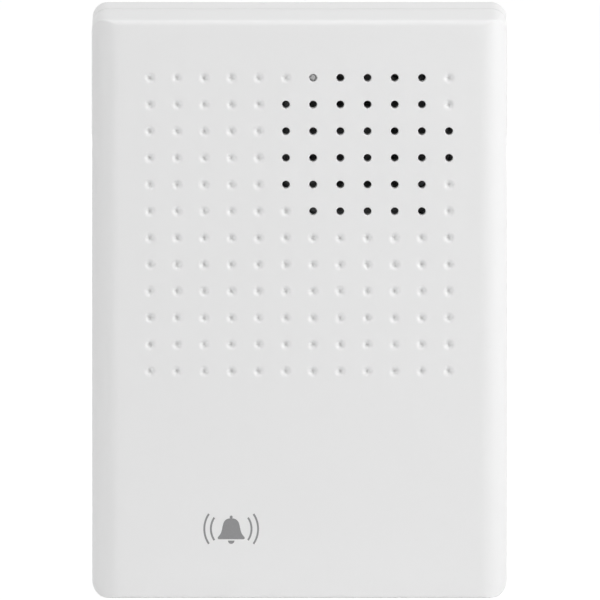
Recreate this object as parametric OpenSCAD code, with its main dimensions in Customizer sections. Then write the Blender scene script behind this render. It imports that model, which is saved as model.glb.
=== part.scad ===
// Wired door chime in a two-part wall case.
// Every piece is drawn lying on its back: x to the right, y up the wall, z from the wall to the room.
// stand() then turns it upright, so that the front faces -Y and the wall is the plane Y = 0.

/* [Case] */
// Width of the case
body_w = 65; // [62:0.5:80]
// Height of the case
body_h = 91.2; // [88:0.2:110]
// Depth of the case from the wall to the front face
body_d = 26; // [25:0.5:34]
// Thickness of the moulded walls
wall = 2; // [1.8:0.1:2.4]
// Radius of the four corners of the outline
corner_r = 2.4; // [2:0.1:4]
// Radius of the left and right front edges
side_round = 4.2; // [3:0.1:6]
// Fillet of the top and bottom front edges and of the rear rim
edge_fillet = 1; // [0.5:0.1:1.1]

/* [Seam] */
// Depth of the back cover
back_d = 10.5; // [7:0.5:11]
// Width of the shadow line between the two covers
seam_gap = 0.2; // [0.1:0.05:0.6]
// Height of the back cover's lip above the seam
lip_h = 2.2; // [1.5:0.1:2.6]
// Thickness of the front cover's skirt outside the lip
skirt_t = 1; // [0.8:0.05:1.2]
// Gap between the lip and the skirt
lip_clear = 0.15; // [0.1:0.05:0.3]
// Width of the notch under the case for prying the cover off
pry_w = 12; // [8:0.5:20]
// Height of the pry notch
pry_h = 1.2; // [0.8:0.1:2]

/* [Cover posts] */
// Radius of the posts in the corners
post_r = 3; // [2.6:0.1:3.4]
// Distance from the inside of the walls to a post's axis
post_inset = 3.6; // [3.5:0.1:4.5]
// Distance from the wall plane to where the posts meet
shoulder_z = 12; // [11.8:0.1:13]
// Radius of the pegs
peg_r = 1.5; // [1.2:0.05:1.8]
// Length of the pegs
peg_l = 7; // [4:0.5:8]
// Radial clearance of a peg in its socket
peg_fit = 0.05; // [0.02:0.01:0.1]
// Room left beyond the end of a peg
peg_spare = 1; // [0.5:0.1:2]

/* [Wall fixing] */
// Distance between the two keyholes
key_spacing = 60; // [50:1:64]
// Radius of a keyhole's entry for the screw head
key_r = 4.2; // [3.5:0.1:5]
// Radius of a keyhole's slot for the screw shank
key_slot_r = 2.2; // [1.8:0.1:2.4]
// Distance from the entry's centre to the end of the slot
key_run = 7.5; // [6:0.5:8]
// Radius of the hole for the wires
cable_r = 6; // [4:0.5:8]

/* [Grille] */
// Columns of the grid
grille_cols = 12; // [10:1:13]
// Rows of the grid
grille_rows = 12; // [10:1:14]
// Distance between columns
pitch_x = 4.25; // [4:0.05:4.5]
// Distance between rows
pitch_y = 4.2; // [4:0.05:4.5]
// Distance from the top of the case to the first row
grille_drop = 9.15; // [9:0.05:11]
// Radius of the through holes
hole_r = 0.62; // [0.5:0.02:0.8]
// Radius of the ball that shapes a dimple
dimple_ball = 0.8; // [0.7:0.05:1.2]
// Depth of a dimple
dimple_depth = 0.7; // [0.2:0.05:0.8]
// Depth of the one grille hole that is closed at its bottom
blind_depth = 0.9; // [0.5:0.1:1.5]
// Radius of the circle of open holes
open_r = 14.3; // [11:0.1:14.8]

/* [Speaker] */
// Distance of the loudspeaker's axis from the middle, to the right
spk_x = 9.775; // [9:0.025:10.5]
// Distance of the loudspeaker's axis from the top of the case
spk_drop = 19.65; // [19.6:0.05:21]
// Outer radius of the loudspeaker
spk_r = 16; // [15:0.1:16.4]
// Thickness of the foam gasket
gasket_t = 1.2; // [1.1:0.1:2]
// Width of the basket's rim
rim_w = 2; // [1.6:0.1:2.2]
// Thickness of the basket's sheet metal
basket_t = 0.6; // [0.4:0.1:0.8]
// Depth of the basket from its rim to its floor
basket_depth = 3.9; // [3.7:0.1:5]
// Radius of the basket's floor
floor_r = 11; // [10.6:0.1:11.4]
// Radius of the roll in the surround
roll_r = 1; // [0.6:0.05:1]
// Thickness of the surround's film
film_t = 0.2; // [0.15:0.05:0.25]
// Gap between the surround and the cone
cone_gap = 0.3; // [0.2:0.05:0.5]
// Thickness of the cone's paper
cone_t = 0.3; // [0.2:0.05:0.4]
// Rise of the cone from its neck to its rim
cone_rise = 2.85; // [2.4:0.05:2.95]
// Rise of the dust cap
cap_rise = 1.5; // [1:0.1:2]
// Radius of the magnet's pole
pole_r = 4.55; // [4:0.05:4.8]
// Air on each side of the moving coil
coil_air = 0.3; // [0.2:0.05:0.4]
// Thickness of the coil's paper former
former_t = 0.15; // [0.1:0.05:0.2]
// Thickness of the coil's winding
coil_t = 0.45; // [0.3:0.05:0.6]
// Height of the coil's winding
coil_h = 1.8; // [1.4:0.1:2.2]
// Radius of the magnet ring
magnet_r = 10; // [9.6:0.1:10.2]
// Height of the magnet ring
magnet_h = 3.5; // [3:0.1:5]
// Thickness of the steel plates on both sides of the magnet
plate_t = 1; // [0.8:0.1:1.4]
// Step from the magnet's edge in to the plates' edge
plate_step = 1; // [0.5:0.1:1.5]
// Gap between the speaker and the fence that locates it
fence_clear = 0.2; // [0.1:0.05:0.3]
// Height of the fence around the speaker
fence_h = 4; // [3.5:0.1:5]
// Thickness of the fence
fence_t = 1.2; // [1:0.1:1.4]

/* [Circuit board] */
// Height of the board
board_h = 33; // [32:0.5:36]
// Thickness of the board
board_t = 1.6; // [1:0.1:2]
// Gap between the board's sides and the cover posts
board_gap = 0.9; // [0.5:0.1:1.2]
// Distance from the cover's inner bottom wall to the board
board_up = 3.6; // [3:0.1:5]
// Height of the bosses that carry the board
boss_h = 4.5; // [4:0.1:5]
// Radius of the bosses
boss_r = 2.4; // [2:0.1:2.6]
// Distance from the board's edges to its screws
screw_inset = 2.5; // [2.4:0.1:3]
// Radius of the board screws' shanks
screw_r = 1; // [0.8:0.05:1.1]
// Length of the board screws under the head
screw_l = 5.6; // [5:0.1:5.8]
// Radius of the board screws' heads
screw_head_r = 1.9; // [1.6:0.1:2.1]
// Height of the board screws' heads
screw_head_h = 1.4; // [1:0.1:1.8]

/* [Terminals] */
// Distance between two poles
pole_pitch = 5; // [4.9:0.05:5.2]
// Depth of the terminal housing
term_d = 8.2; // [8:0.1:9]
// Side of the square way in for a wire
wire_way = 2; // [1.6:0.1:2.4]
// Width of a clamp cage
cage_w = 3.5; // [3.2:0.1:3.6]
// Length of a clamp cage along the wire
cage_l = 4; // [3.6:0.1:4.2]
// Thickness of a cage's sides
cage_side = 0.4; // [0.3:0.05:0.5]
// Thickness of a cage's clamping floor
cage_floor = 0.6; // [0.4:0.05:0.8]
// Thickness of a cage's threaded top
cage_top = 0.8; // [0.6:0.05:1]
// Height at which an open cage hangs above the board
cage_rest = 1.2; // [0.8:0.1:1.6]
// Clearance of the cage in its pocket
cage_clear = 0.15; // [0.1:0.05:0.2]
// Thickness of a contact bar
bar_t = 0.7; // [0.5:0.05:0.9]
// Radius of a terminal screw's shank
term_screw_r = 1.25; // [1:0.05:1.3]
// Radius of a terminal screw's head
term_head_r = 1.8; // [1.5:0.05:1.85]
// Height of a terminal screw's head
term_head_h = 1.5; // [1.2:0.1:2]

/* [Hidden] */
$fn = 48;

poles = 4;

// How far a rib or a boss runs into the wall that carries it, and a cut runs past a face
bond = 0.5;
// Gap between small fixed pieces that are fitted into one another
nip = 0.1;

// Case
face_in = body_d - wall;
cavity_w = body_w - 2 * wall;
cavity_h = body_h - 2 * wall;
least_corner = 0.4;
cavity_r = max(corner_r - wall, least_corner);
rim_z = back_d - seam_gap;
lip_w = body_w - 2 * (skirt_t + lip_clear);
lip_len = body_h - 2 * (skirt_t + lip_clear);
lip_r = corner_r - skirt_t - lip_clear;
post_x = cavity_w / 2 - post_inset;
post_y = cavity_h / 2 - post_inset;
peg_tip = 0.5;
sides = [-1, 1];

// Grille: the open circle lies over the speaker
spk_y = body_h / 2 - spk_drop;
blind_col = 6;
blind_row = 0;
function grille_x(col) = (col - (grille_cols - 1) / 2) * pitch_x;
function grille_y(row) = body_h / 2 - grille_drop - row * pitch_y;
function is_open(col, row) = norm([grille_x(col) - spk_x, grille_y(row) - spk_y]) <= open_r;
function is_blind(col, row) = col == blind_col && row == blind_row;

// Speaker: heights are taken back from the inside of the front face
rim_in = spk_r - rim_w;
gasket_lap = 0.2;
gasket_in = rim_in + gasket_lap;
film_z = face_in - gasket_t - film_t;
basket_z = film_z - basket_depth - basket_t;
film_in = rim_in - 2 * roll_r - cone_gap;
cone_r = film_in - cone_gap;
former_in = pole_r + coil_air;
former_out = former_in + former_t;
gap_r = former_out + coil_t + coil_air;
cone_drop = 0.15;
neck_z = film_z - cone_rise - cone_drop;
plate_r = magnet_r - plate_step;
top_plate_z = basket_z - plate_t;
magnet_z = top_plate_z - magnet_h;
yoke_z = magnet_z - plate_t;
coil_z = basket_z - plate_t / 2 - coil_h / 2;
collar = 0.6;
former_top = neck_z + collar;
cone_bow = 0.85;
cone_steps = 8;
cap_r = former_out + collar;
cap_t = 0.25;
magnet_air = 1;
fence_r = spk_r + fence_clear;
fence_half_angle = 25;
glue_half_angle = 12;
glue_leg = 1.5;
fence_angles = [45, 135, 225, 315];
window_half_angle = 30;
window_margin = 0.6;
tongue_w = 8;
tongue_reach = 14;
tag_w = 9;
tag_t = 0.8;
tag_gap = 0.4;
tag_in = magnet_r + tag_gap;
tag_out = tongue_reach + tag_gap;
lug_w = 1.6;
lug_t = 0.3;
lug_x = 2.8;
lug_set = 0.6;
lug_proud = 1;
lug_in = tag_in + lug_set;
lug_out = tag_out + lug_proud;
tag_z = basket_z - tag_t;
lug_z = tag_z - lug_t;

// Circuit board: its components stand on the rear face, towards the wall
board_w = 2 * (post_x - post_r - board_gap);
board_front = face_in - boss_h;
board_rear = board_front - board_t;
board_low = -cavity_h / 2 + board_up;
board_y = board_low + board_h / 2;
board_r = 1;
screw_x = board_w / 2 - screw_inset;
screw_y = board_h / 2 - screw_inset;
pilot_clear = 0.05;
pilot_r = screw_r + pilot_clear;
screw_clear = 0.35;
screw_hole_r = screw_r + screw_clear;
pilot_spare = 0.2;
recess_w = 0.5;
recess_l = 2.2;
recess_h = 0.7;

// Components: their places on the board, counted from its middle, and their sizes.
// Those at the sides keep their distance from the screws, those below from the board's lower edge.
board_foot = -board_h / 2;
lead_r = 0.3;
chip_from_screw = 11.5;
chip_up = 0.4;
chip_at = [chip_from_screw - screw_x, chip_up];
chip_r = 5;
chip_h = 1.7;
filter_r = 4;
filter_l = 11.5;
filter_from_screw = 12.5;
filter_gap = 1.15;
filter_leads = 3.5;
filter_bend = 1.2;
coupling_from_screw = 5.5;
coupling_up = 4;
coupling_at = [screw_x - coupling_from_screw, coupling_up];
coupling_r = 3.15;
coupling_h = 7;
crimp_r = 0.35;
crimp_z = 1.6;
can_fillet = 0.5;
driver_from_screw = 13;
driver_up = 3;
driver_at = [screw_x - driver_from_screw, driver_up];
driver_body_r = 2.3;
driver_body_h = 4.6;
driver_flat = 1.4;
driver_lift = 1.6;
driver_leads = 1.27;
driver_lead_w = 0.45;
zener_r = 1.35;
zener_l = 4.6;
zener_span = 9;
zener_from_screw = 9.5;
zener_up = 2.5;
zener_at = [screw_x - zener_from_screw, board_foot + zener_up];
filter_at = [screw_x - filter_from_screw, zener_at.y + zener_r + filter_gap + filter_r];
resistor_r = 1.1;
resistor_l = 5.6;
resistor_span = 8.5;
resistor_from_screw = 5.5;
resistor_up = 5;
resistor_at = [resistor_from_screw - screw_x, board_foot + resistor_up];
resistor_step = 2.6;
resistor_count = 4;
ceramic_up = 4.5;
ceramic_step = 3;
ceramic_at = [-ceramic_step / 2, board_foot + ceramic_up];
ceramic_r = 2.1;
ceramic_t = 1.7;
ceramic_lift = 1.2;
ceramic_leads = 2.5;

// Terminals: heights are counted from the board's rear face
term_end = 0.2;
term_w = poles * pole_pitch + 2 * term_end;
term_gap = 2.4;
term_x = screw_head_r + term_gap + term_w / 2 - screw_x;
term_edge = 0.3;
term_y = board_h / 2 - term_edge - term_d / 2;
pocket_w = cage_w + 2 * cage_clear;
pocket_l = cage_l + 2 * cage_clear;
bar_z = cage_rest + cage_floor + wire_way;
cage_h = cage_floor + wire_way + bar_t + nip + cage_top;
clamp_left = 0.2;
cage_travel = wire_way - clamp_left;
bar_w = cage_w - 2 * cage_side - 4 * nip;
pin_side = 0.8;
pin_out = 1;
bar_tail = pocket_l / 2 + pin_side + 2 * nip;
head_gap = 0.2;
head_z = cage_rest + cage_h + cage_travel + head_gap;
head_room = head_z + term_head_h + head_gap;
term_roof = 0.7;
term_h = head_room + term_roof;
driver_lip = 0.15;
driver_r = term_head_r - driver_lip;
tip_gap = 0.05;
tip_z = bar_z + bar_t + tip_gap;
slot_w = 0.5;
slot_h = 0.6;
function pole_x(i) = term_x + (i - (poles + 1) / 2) * pole_pitch;

// Speaker wires: each leaves its lug and its pad on the board straight towards the wall
wire_r = 0.6;
wire_sides = 8;
wire_steps = 10;
wire_stub = 0.6;
wire_reach = 5.6;
wire_bow = 3;
wire_set = 12.95;
pad_in = 3;
red_from_screw = 3.6;
black_from_screw = 6.4;
pad_y = board_y + board_h / 2 - pad_in;
function blend(a, b, t) = a * (1 - t) + b * t;
function curve(a, b, c, d, t) = blend(
    blend(blend(a, b, t), blend(b, c, t), t),
    blend(blend(b, c, t), blend(c, d, t), t), t);
function rearward(at, by) = at - [0, 0, by];
function wire_route(lug, pad) = concat(
    [lug],
    [for (i = [0:wire_steps]) curve(
        rearward(lug, wire_stub), rearward(lug, wire_reach) + [wire_bow, 0, 0],
        rearward(pad, wire_reach), rearward(pad, wire_stub), i / wire_steps)],
    [pad]);
function lug_end(x) = [spk_x + x, spk_y - wire_set, lug_z];
red_route = wire_route(lug_end(lug_x), [screw_x - red_from_screw, pad_y, board_rear]);
black_route = wire_route(lug_end(-lug_x), [screw_x - black_from_screw, pad_y, board_rear]);

// Turns the lying model upright
module stand() rotate([90, 0, 0]) children();

// Rectangle with rounded corners
module round_rect(w, h, r) {
    square([w - 2 * r, h], center = true);
    square([w, h - 2 * r], center = true);
    for (x = sides, y = sides)
        translate([x * (w / 2 - r), y * (h / 2 - r)]) circle(r);
}

// Section of a slab of width w and height d whose two upper edges are rounded
module arch(w, d, r) {
    translate([-w / 2, 0]) square([w, d - r]);
    translate([r - w / 2, 0]) square([w - 2 * r, d]);
    for (x = sides) translate([x * (w / 2 - r), d - r]) circle(r);
}

// Section of a slab, drawn out along y
module arch_along_y(w, d, r, run) {
    rotate([90, 0, 0]) linear_extrude(run, center = true) arch(w, d, r);
}

// Section of a slab, drawn out along x
module arch_along_x(w, d, r, run) {
    rotate([90, 0, 90]) linear_extrude(run, center = true) arch(w, d, r);
}

// Round post whose upper rim has a fillet
module soft_post(r, d, fillet) {
    rotate_extrude() intersection() {
        square([r, d]);
        arch(2 * r, d, fillet);
    }
}

// Block with round corners whose whole upper rim has a fillet
module soft_block(w, h, d, r, fillet) {
    arch_along_y(w, d, fillet, h - 2 * r);
    arch_along_x(h, d, fillet, w - 2 * r);
    for (x = sides, y = sides)
        translate([x * (w / 2 - r), y * (h / 2 - r), 0]) soft_post(r, d, fillet);
}

// Prism with round corners between two heights
module round_prism(w, h, r, low, high) {
    translate([0, 0, low]) linear_extrude(high - low) round_rect(w, h, r);
}

// Tube between two heights
module tube(r_in, r_out, low, high) {
    rotate_extrude() translate([r_in, low]) square([r_out - r_in, high - low]);
}

// Piece of a tube, from an angle minus half to the angle plus half
module tube_piece(r_in, r_out, low, high, at, half) {
    rotate([0, 0, at - half])
        rotate_extrude(angle = 2 * half) translate([r_in, low]) square([r_out - r_in, high - low]);
}

// Puts its children on each of the four corner posts
module at_posts() {
    for (x = sides, y = sides) translate([x * post_x, y * post_y, 0]) children();
}

// Puts its children on the speaker's axis
module at_speaker() translate([spk_x, spk_y, 0]) children();

// Puts its children on each of the four board screws
module at_board_screws() {
    for (x = sides, y = sides) translate([x * screw_x, board_y + y * screw_y, 0]) children();
}

// Puts its children on the rear face of the board, growing towards the wall
module on_board(at) translate([at.x, board_y + at.y, board_rear]) mirror([0, 0, 1]) children();

// Unit vector
function unit(v) = v / norm(v);

// Direction of a route at one of its points
function heading(route, i) =
    unit(route[min(i + 1, len(route) - 1)] - route[max(i - 1, 0)]);

// Ring of points around one point of a route
function ring(at, along, r, count) =
    let (side = unit(cross(along, [1, 0, 0])), other = cross(side, along))
    [for (k = [0:count - 1]) at + r * (cos(360 * k / count) * side + sin(360 * k / count) * other)];

// Round tube along a route, closed at both ends
module swept_tube(route, r, count) {
    last = len(route) - 1;
    points = [for (i = [0:last]) each ring(route[i], heading(route, i), r, count)];
    walls = [for (i = [0:last - 1], k = [0:count - 1])
        let (a = i * count + k, b = i * count + (k + 1) % count)
        each [[a, b, b + count], [a, b + count, a + count]]];
    ends = [for (k = [1:count - 2]) each [
        [0, k + 1, k],
        [last * count, last * count + k, last * count + k + 1]]];
    polyhedron(points, concat(walls, ends));
}

// Rear shell: tray, lip, posts with pegs, keyholes and the hole for the wires
module back_cover() color("white") stand() difference() {
    union() {
        difference() {
            translate([0, 0, rim_z]) mirror([0, 0, 1])
                soft_block(body_w, body_h, rim_z, corner_r, edge_fillet);
            round_prism(cavity_w, cavity_h, cavity_r, wall, back_d);
        }
        difference() {
            round_prism(lip_w, lip_len, lip_r, rim_z - bond, back_d + lip_h);
            round_prism(cavity_w, cavity_h, cavity_r, wall, back_d + lip_h + bond);
        }
        at_posts() {
            translate([0, 0, wall - bond]) cylinder(r = post_r, h = shoulder_z - wall + bond);
            translate([0, 0, shoulder_z - bond]) cylinder(r = peg_r, h = peg_l - peg_tip + bond);
            translate([0, 0, shoulder_z + peg_l - peg_tip])
                cylinder(r1 = peg_r, r2 = peg_r - peg_tip, h = peg_tip);
        }
    }
    for (y = sides) translate([0, y * key_spacing / 2, -bond]) keyhole(wall + 2 * bond);
    translate([0, 0, -bond]) cylinder(r = cable_r, h = wall + 2 * bond);
    translate([-pry_w / 2, -body_h / 2 - bond, rim_z - pry_h])
        cube([pry_w, bond + skirt_t, pry_h + bond]);
}

// Keyhole for a wall screw, with its slot above the entry
module keyhole(depth) {
    cylinder(r = key_r, h = depth);
    translate([-key_slot_r, 0, 0]) cube([2 * key_slot_r, key_run, depth]);
    translate([0, key_run, 0]) cylinder(r = key_slot_r, h = depth);
}

// Front shell with its grille, sockets, board bosses and speaker fence
module front_cover() color("white") stand() difference() {
    union() {
        difference() {
            front_form();
            front_cavity();
            round_prism(body_w - 2 * skirt_t, body_h - 2 * skirt_t, corner_r - skirt_t,
                back_d - bond, back_d + lip_h + lip_clear);
        }
        at_posts() translate([0, 0, shoulder_z])
            cylinder(r = post_r, h = face_in - shoulder_z + bond);
        at_board_screws() translate([0, 0, board_front]) cylinder(r = boss_r, h = boss_h + bond);
        at_speaker() for (at = fence_angles)
            tube_piece(fence_r, fence_r + fence_t, face_in - fence_h, face_in + bond,
                at, fence_half_angle);
    }
    grille();
    at_posts() translate([0, 0, shoulder_z - bond])
        cylinder(r = peg_r + peg_fit, h = peg_l + peg_spare + bond);
    at_board_screws() translate([0, 0, board_front - bond])
        cylinder(r = pilot_r, h = screw_l - board_t + pilot_spare + bond);
}

// Outside of the front shell: long edges rounded, short edges with a fillet
module front_form() intersection() {
    translate([0, 0, back_d]) soft_block(body_w, body_h, body_d - back_d, corner_r, edge_fillet);
    arch_along_y(body_w, body_d, side_round, body_h + 2 * bond);
}

// Inside of the front shell
module front_cavity() intersection() {
    round_prism(cavity_w, cavity_h, cavity_r, back_d - bond, face_in);
    arch_along_y(cavity_w, face_in, max(side_round - wall, edge_fillet), body_h);
}

// Cuts of the grid: holes over the speaker and dimples everywhere else
module grille() {
    for (col = [0:grille_cols - 1], row = [0:grille_rows - 1])
        translate([grille_x(col), grille_y(row), 0]) {
            if (is_blind(col, row)) {
                translate([0, 0, body_d - blind_depth]) cylinder(r = hole_r, h = blind_depth + bond);
            } else if (is_open(col, row)) {
                translate([0, 0, face_in - bond]) cylinder(r = hole_r, h = wall + 2 * bond);
            } else {
                translate([0, 0, body_d + dimple_ball - dimple_depth]) sphere(dimple_ball);
            }
        }
}

// Foam ring between the speaker and the cover
module speaker_gasket() color("dimgray") stand() at_speaker()
    tube(gasket_in, spk_r, face_in - gasket_t, face_in);

// Pressed steel frame of the speaker, with windows and a tongue for the tags
module speaker_basket() color("silver") stand() at_speaker() difference() {
    union() {
        rotate_extrude() polygon([
            [rim_in, film_z], [spk_r, film_z], [spk_r, film_z - basket_t],
            [rim_in + basket_t, film_z - basket_t], [floor_r + basket_t, basket_z],
            [gap_r, basket_z], [gap_r, basket_z + basket_t], [floor_r, basket_z + basket_t]]);
        translate([-tongue_w / 2, -tongue_reach, basket_z])
            cube([tongue_w, tongue_reach - floor_r + bond, basket_t]);
    }
    for (at = fence_angles)
        tube_piece(floor_r - bond, spk_r, basket_z + basket_t + window_margin,
            film_z - basket_t - window_margin, at, window_half_angle);
}

// Half-roll edge that carries the cone
module speaker_surround() color("darkslategray") stand() at_speaker() rotate_extrude() {
    translate([rim_in - film_t, film_z]) square([rim_w + film_t, film_t]);
    translate([film_in, film_z]) square([cone_gap + film_t, film_t]);
    translate([rim_in - roll_r, film_z]) intersection() {
        difference() {
            circle(roll_r);
            circle(roll_r - film_t);
        }
        translate([-roll_r, 0]) square([2 * roll_r, roll_r]);
    }
}

// Steel washer in front of the magnet
module speaker_top_plate() color("lightsteelblue") stand() at_speaker()
    tube(gap_r, plate_r, top_plate_z, basket_z);

// Ferrite ring
module speaker_magnet() color("darkgray") stand() at_speaker()
    tube(gap_r + magnet_air, magnet_r, magnet_z, top_plate_z);

// Steel back plate with the pole
module speaker_yoke() color("lightsteelblue") stand() at_speaker() {
    translate([0, 0, yoke_z]) cylinder(r = plate_r, h = plate_t);
    translate([0, 0, yoke_z]) cylinder(r = pole_r, h = basket_z - yoke_z);
}

// Board for the solder lugs
module speaker_tag_board() color("peru") stand() at_speaker()
    translate([-tag_w / 2, -tag_out, tag_z]) cube([tag_w, tag_out - tag_in, tag_t]);

// Two solder lugs
module speaker_lugs() color("goldenrod") stand() at_speaker()
    for (x = sides) translate([x * lug_x - lug_w / 2, -lug_out, lug_z])
        cube([lug_w, lug_out - lug_in, lug_t]);

// Dabs of hot-melt glue between the basket's rim and the fence
module speaker_glue() color("ivory") stand() at_speaker()
    for (at = fence_angles) rotate([0, 0, at - glue_half_angle])
        rotate_extrude(angle = 2 * glue_half_angle) difference() {
            translate([fence_r - glue_leg, film_z - basket_t - glue_leg]) square(glue_leg);
            translate([fence_r - glue_leg, film_z - basket_t - glue_leg]) circle(glue_leg - nip);
        }

// Point on the rear of the cone's slightly bowed flank, from 0 at the neck to 1 at the rim
function flank(t) = [
    former_out + (cone_r - former_out) * t,
    neck_z + cone_rise * pow(t, cone_bow)];

// Paper cone
module speaker_cone() color("black") stand() at_speaker() rotate_extrude() polygon(concat(
    [for (i = [0:cone_steps]) flank(i / cone_steps)],
    [for (i = [cone_steps:-1:0]) flank(i / cone_steps) + [0, cone_t]]));

// Domed cap over the coil
module dust_cap() color("black") stand() at_speaker() {
    ball = (cap_r * cap_r + cap_rise * cap_rise) / (2 * cap_rise);
    base = flank((cap_r - former_out) / (cone_r - former_out)).y + cone_t + nip;
    intersection() {
        translate([0, 0, base + cap_rise - ball]) difference() {
            sphere(ball);
            sphere(ball - cap_t);
        }
        translate([0, 0, base]) cylinder(r = cap_r, h = 2 * cap_rise);
    }
}

// Paper tube that joins the coil to the cone
module coil_former() color("sienna") stand() at_speaker()
    tube(former_in, former_out, coil_z - nip, former_top);

// Copper winding of the moving coil
module voice_coil() color("chocolate") stand() at_speaker()
    tube(former_out, former_out + coil_t, coil_z, coil_z + coil_h);

// Insulated wires from the board to the speaker's lugs
module speaker_wire_red() color("red") stand() swept_tube(red_route, wire_r, wire_sides);
module speaker_wire_black() color("black") stand() swept_tube(black_route, wire_r, wire_sides);

// Printed board with its screw holes and the holes for the terminal pins
module circuit_board() color("darkgreen") stand() difference() {
    translate([0, board_y, 0]) round_prism(board_w, board_h, board_r, board_rear, board_front);
    at_board_screws() translate([0, 0, board_rear - bond])
        cylinder(r = screw_hole_r, h = board_t + 2 * bond);
    for (i = [1:poles]) on_board([pole_x(i), term_y - bar_tail + pin_side / 2])
        translate([0, 0, -board_t - bond]) cylinder(r = pin_side, h = board_t + 2 * bond);
}

// Four screws with cross recesses that hold the board to its bosses
module board_screws() color("lightgray") stand() at_board_screws() difference() {
    union() {
        translate([0, 0, board_rear - screw_head_h]) cylinder(r = screw_head_r, h = screw_head_h);
        translate([0, 0, board_rear - bond]) cylinder(r = screw_r, h = screw_l + bond);
    }
    for (turn = [0, 90]) rotate([0, 0, turn])
        translate([-recess_l / 2, -recess_w / 2, board_rear - screw_head_h - bond])
            cube([recess_l, recess_w, recess_h + bond]);
}

// Sound chip under a drop of epoxy
module melody_chip() color("black") stand() on_board(chip_at) {
    ball = (chip_r * chip_r + chip_h * chip_h) / (2 * chip_h);
    intersection() {
        translate([0, 0, chip_h - ball]) sphere(ball);
        cylinder(r = chip_r + bond, h = chip_h + bond);
    }
}

// Aluminium can with its crimp, standing on its leads' end
module can(r, h) difference() {
    soft_post(r, h, can_fillet);
    rotate_extrude() translate([r + crimp_r / 2, crimp_z]) circle(crimp_r);
}

// Large electrolytic capacitor lying on the board
module filter_capacitor() color("midnightblue") stand() on_board(filter_at) {
    translate([0, 0, filter_r]) rotate([0, 90, 0]) can(filter_r, filter_l);
    for (y = sides) translate([-filter_bend, y * filter_leads / 2, 0]) {
        cylinder(r = lead_r, h = filter_r);
        translate([0, 0, filter_r]) sphere(lead_r);
        translate([0, 0, filter_r]) rotate([0, 90, 0]) cylinder(r = lead_r, h = filter_bend + bond);
    }
}

// Small electrolytic capacitor standing on the board
module coupling_capacitor() color("midnightblue") stand() on_board(coupling_at)
    can(coupling_r, coupling_h);

// Transistor that drives the speaker
module driver_transistor() color("black") stand() on_board(driver_at) {
    difference() {
        translate([0, 0, driver_lift]) cylinder(r = driver_body_r, h = driver_body_h);
        translate([-driver_body_r, driver_flat, driver_lift - bond])
            cube([2 * driver_body_r, driver_body_r, driver_body_h + 2 * bond]);
    }
    for (i = [-1:1]) translate([i * driver_leads - driver_lead_w / 2, -driver_lead_w / 2, 0])
        cube([driver_lead_w, driver_lead_w, driver_lift + bond]);
}

// Component whose round body, of a radius and a length, lies on the board between bent leads
module axial_part(body_r, body_l, lead_span) {
    translate([-body_l / 2, 0, body_r]) rotate([0, 90, 0]) soft_post(body_r, body_l, body_r / 3);
    translate([-lead_span / 2, 0, body_r]) rotate([0, 90, 0]) cylinder(r = lead_r, h = lead_span);
    for (x = sides) translate([x * lead_span / 2, 0, 0]) {
        cylinder(r = lead_r, h = body_r);
        translate([0, 0, body_r]) sphere(lead_r);
    }
}

// Diode that sets the supply of the sound chip
module zener_diode() color("black") stand() on_board(zener_at)
    axial_part(zener_r, zener_l, zener_span);

// Resistors in a row
module resistors() color("burlywood") stand() for (i = [0:resistor_count - 1])
    on_board(resistor_at + [i * resistor_step, 0]) rotate([0, 0, 90])
        axial_part(resistor_r, resistor_l, resistor_span);

// Two disc capacitors
module ceramic_capacitors() color("orange") stand() for (i = [0, 1])
    on_board(ceramic_at + [i * ceramic_step, 0]) {
        translate([-ceramic_t / 2, 0, ceramic_lift + ceramic_r]) rotate([0, 90, 0])
            cylinder(r = ceramic_r, h = ceramic_t);
        for (y = sides) translate([0, y * ceramic_leads / 2, 0])
            cylinder(r = lead_r, h = ceramic_lift + ceramic_r);
    }

// Puts its children on the axis of one pole, on the board's rear face
module at_pole(i) on_board([pole_x(i), term_y]) children();

// Housing of the terminals, with a pocket, a wire way and a screw hole for each pole
module terminal_housing() color("seagreen") stand() difference() {
    on_board([term_x, term_y]) translate([-term_w / 2, -term_d / 2, 0]) cube([term_w, term_d, term_h]);
    for (i = [1:poles]) at_pole(i) {
        translate([-pocket_w / 2, -pocket_l / 2, -bond]) cube([pocket_w, pocket_l, head_z - nip + bond]);
        translate([-bar_w / 2 - nip, -bar_tail - nip, -bond])
            cube([bar_w + 2 * nip, bar_tail, bar_z + bar_t + nip + bond]);
        translate([-wire_way / 2 - 2 * nip, 0, cage_rest + cage_floor - nip])
            cube([wire_way + 4 * nip, term_d, wire_way + nip]);
        translate([0, 0, cage_rest]) cylinder(r = term_head_r + cage_clear, h = head_room - cage_rest);
        translate([0, 0, cage_rest]) cylinder(r = driver_r, h = term_h);
    }
}

// Contact bars, each bent down into a pin through the board
module contact_bars() color("gold") stand() for (i = [1:poles]) at_pole(i) {
    translate([-bar_w / 2, -bar_tail, bar_z]) cube([bar_w, bar_tail + pocket_l / 2 - nip, bar_t]);
    translate([-pin_side / 2, -bar_tail, -board_t - pin_out])
        cube([pin_side, pin_side, board_t + pin_out + bar_z + bar_t]);
}

// Slotted screw that presses on the contact bar and lifts the cage
module terminal_screw(i) color("silver") stand() at_pole(i) difference() {
    union() {
        translate([0, 0, tip_z]) cylinder(r = term_screw_r, h = head_z - tip_z + bond);
        translate([0, 0, head_z]) cylinder(r = term_head_r, h = term_head_h);
    }
    translate([-term_head_r - bond, -slot_w / 2, head_z + term_head_h - slot_h])
        cube([2 * (term_head_r + bond), slot_w, slot_h + bond]);
}

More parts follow.
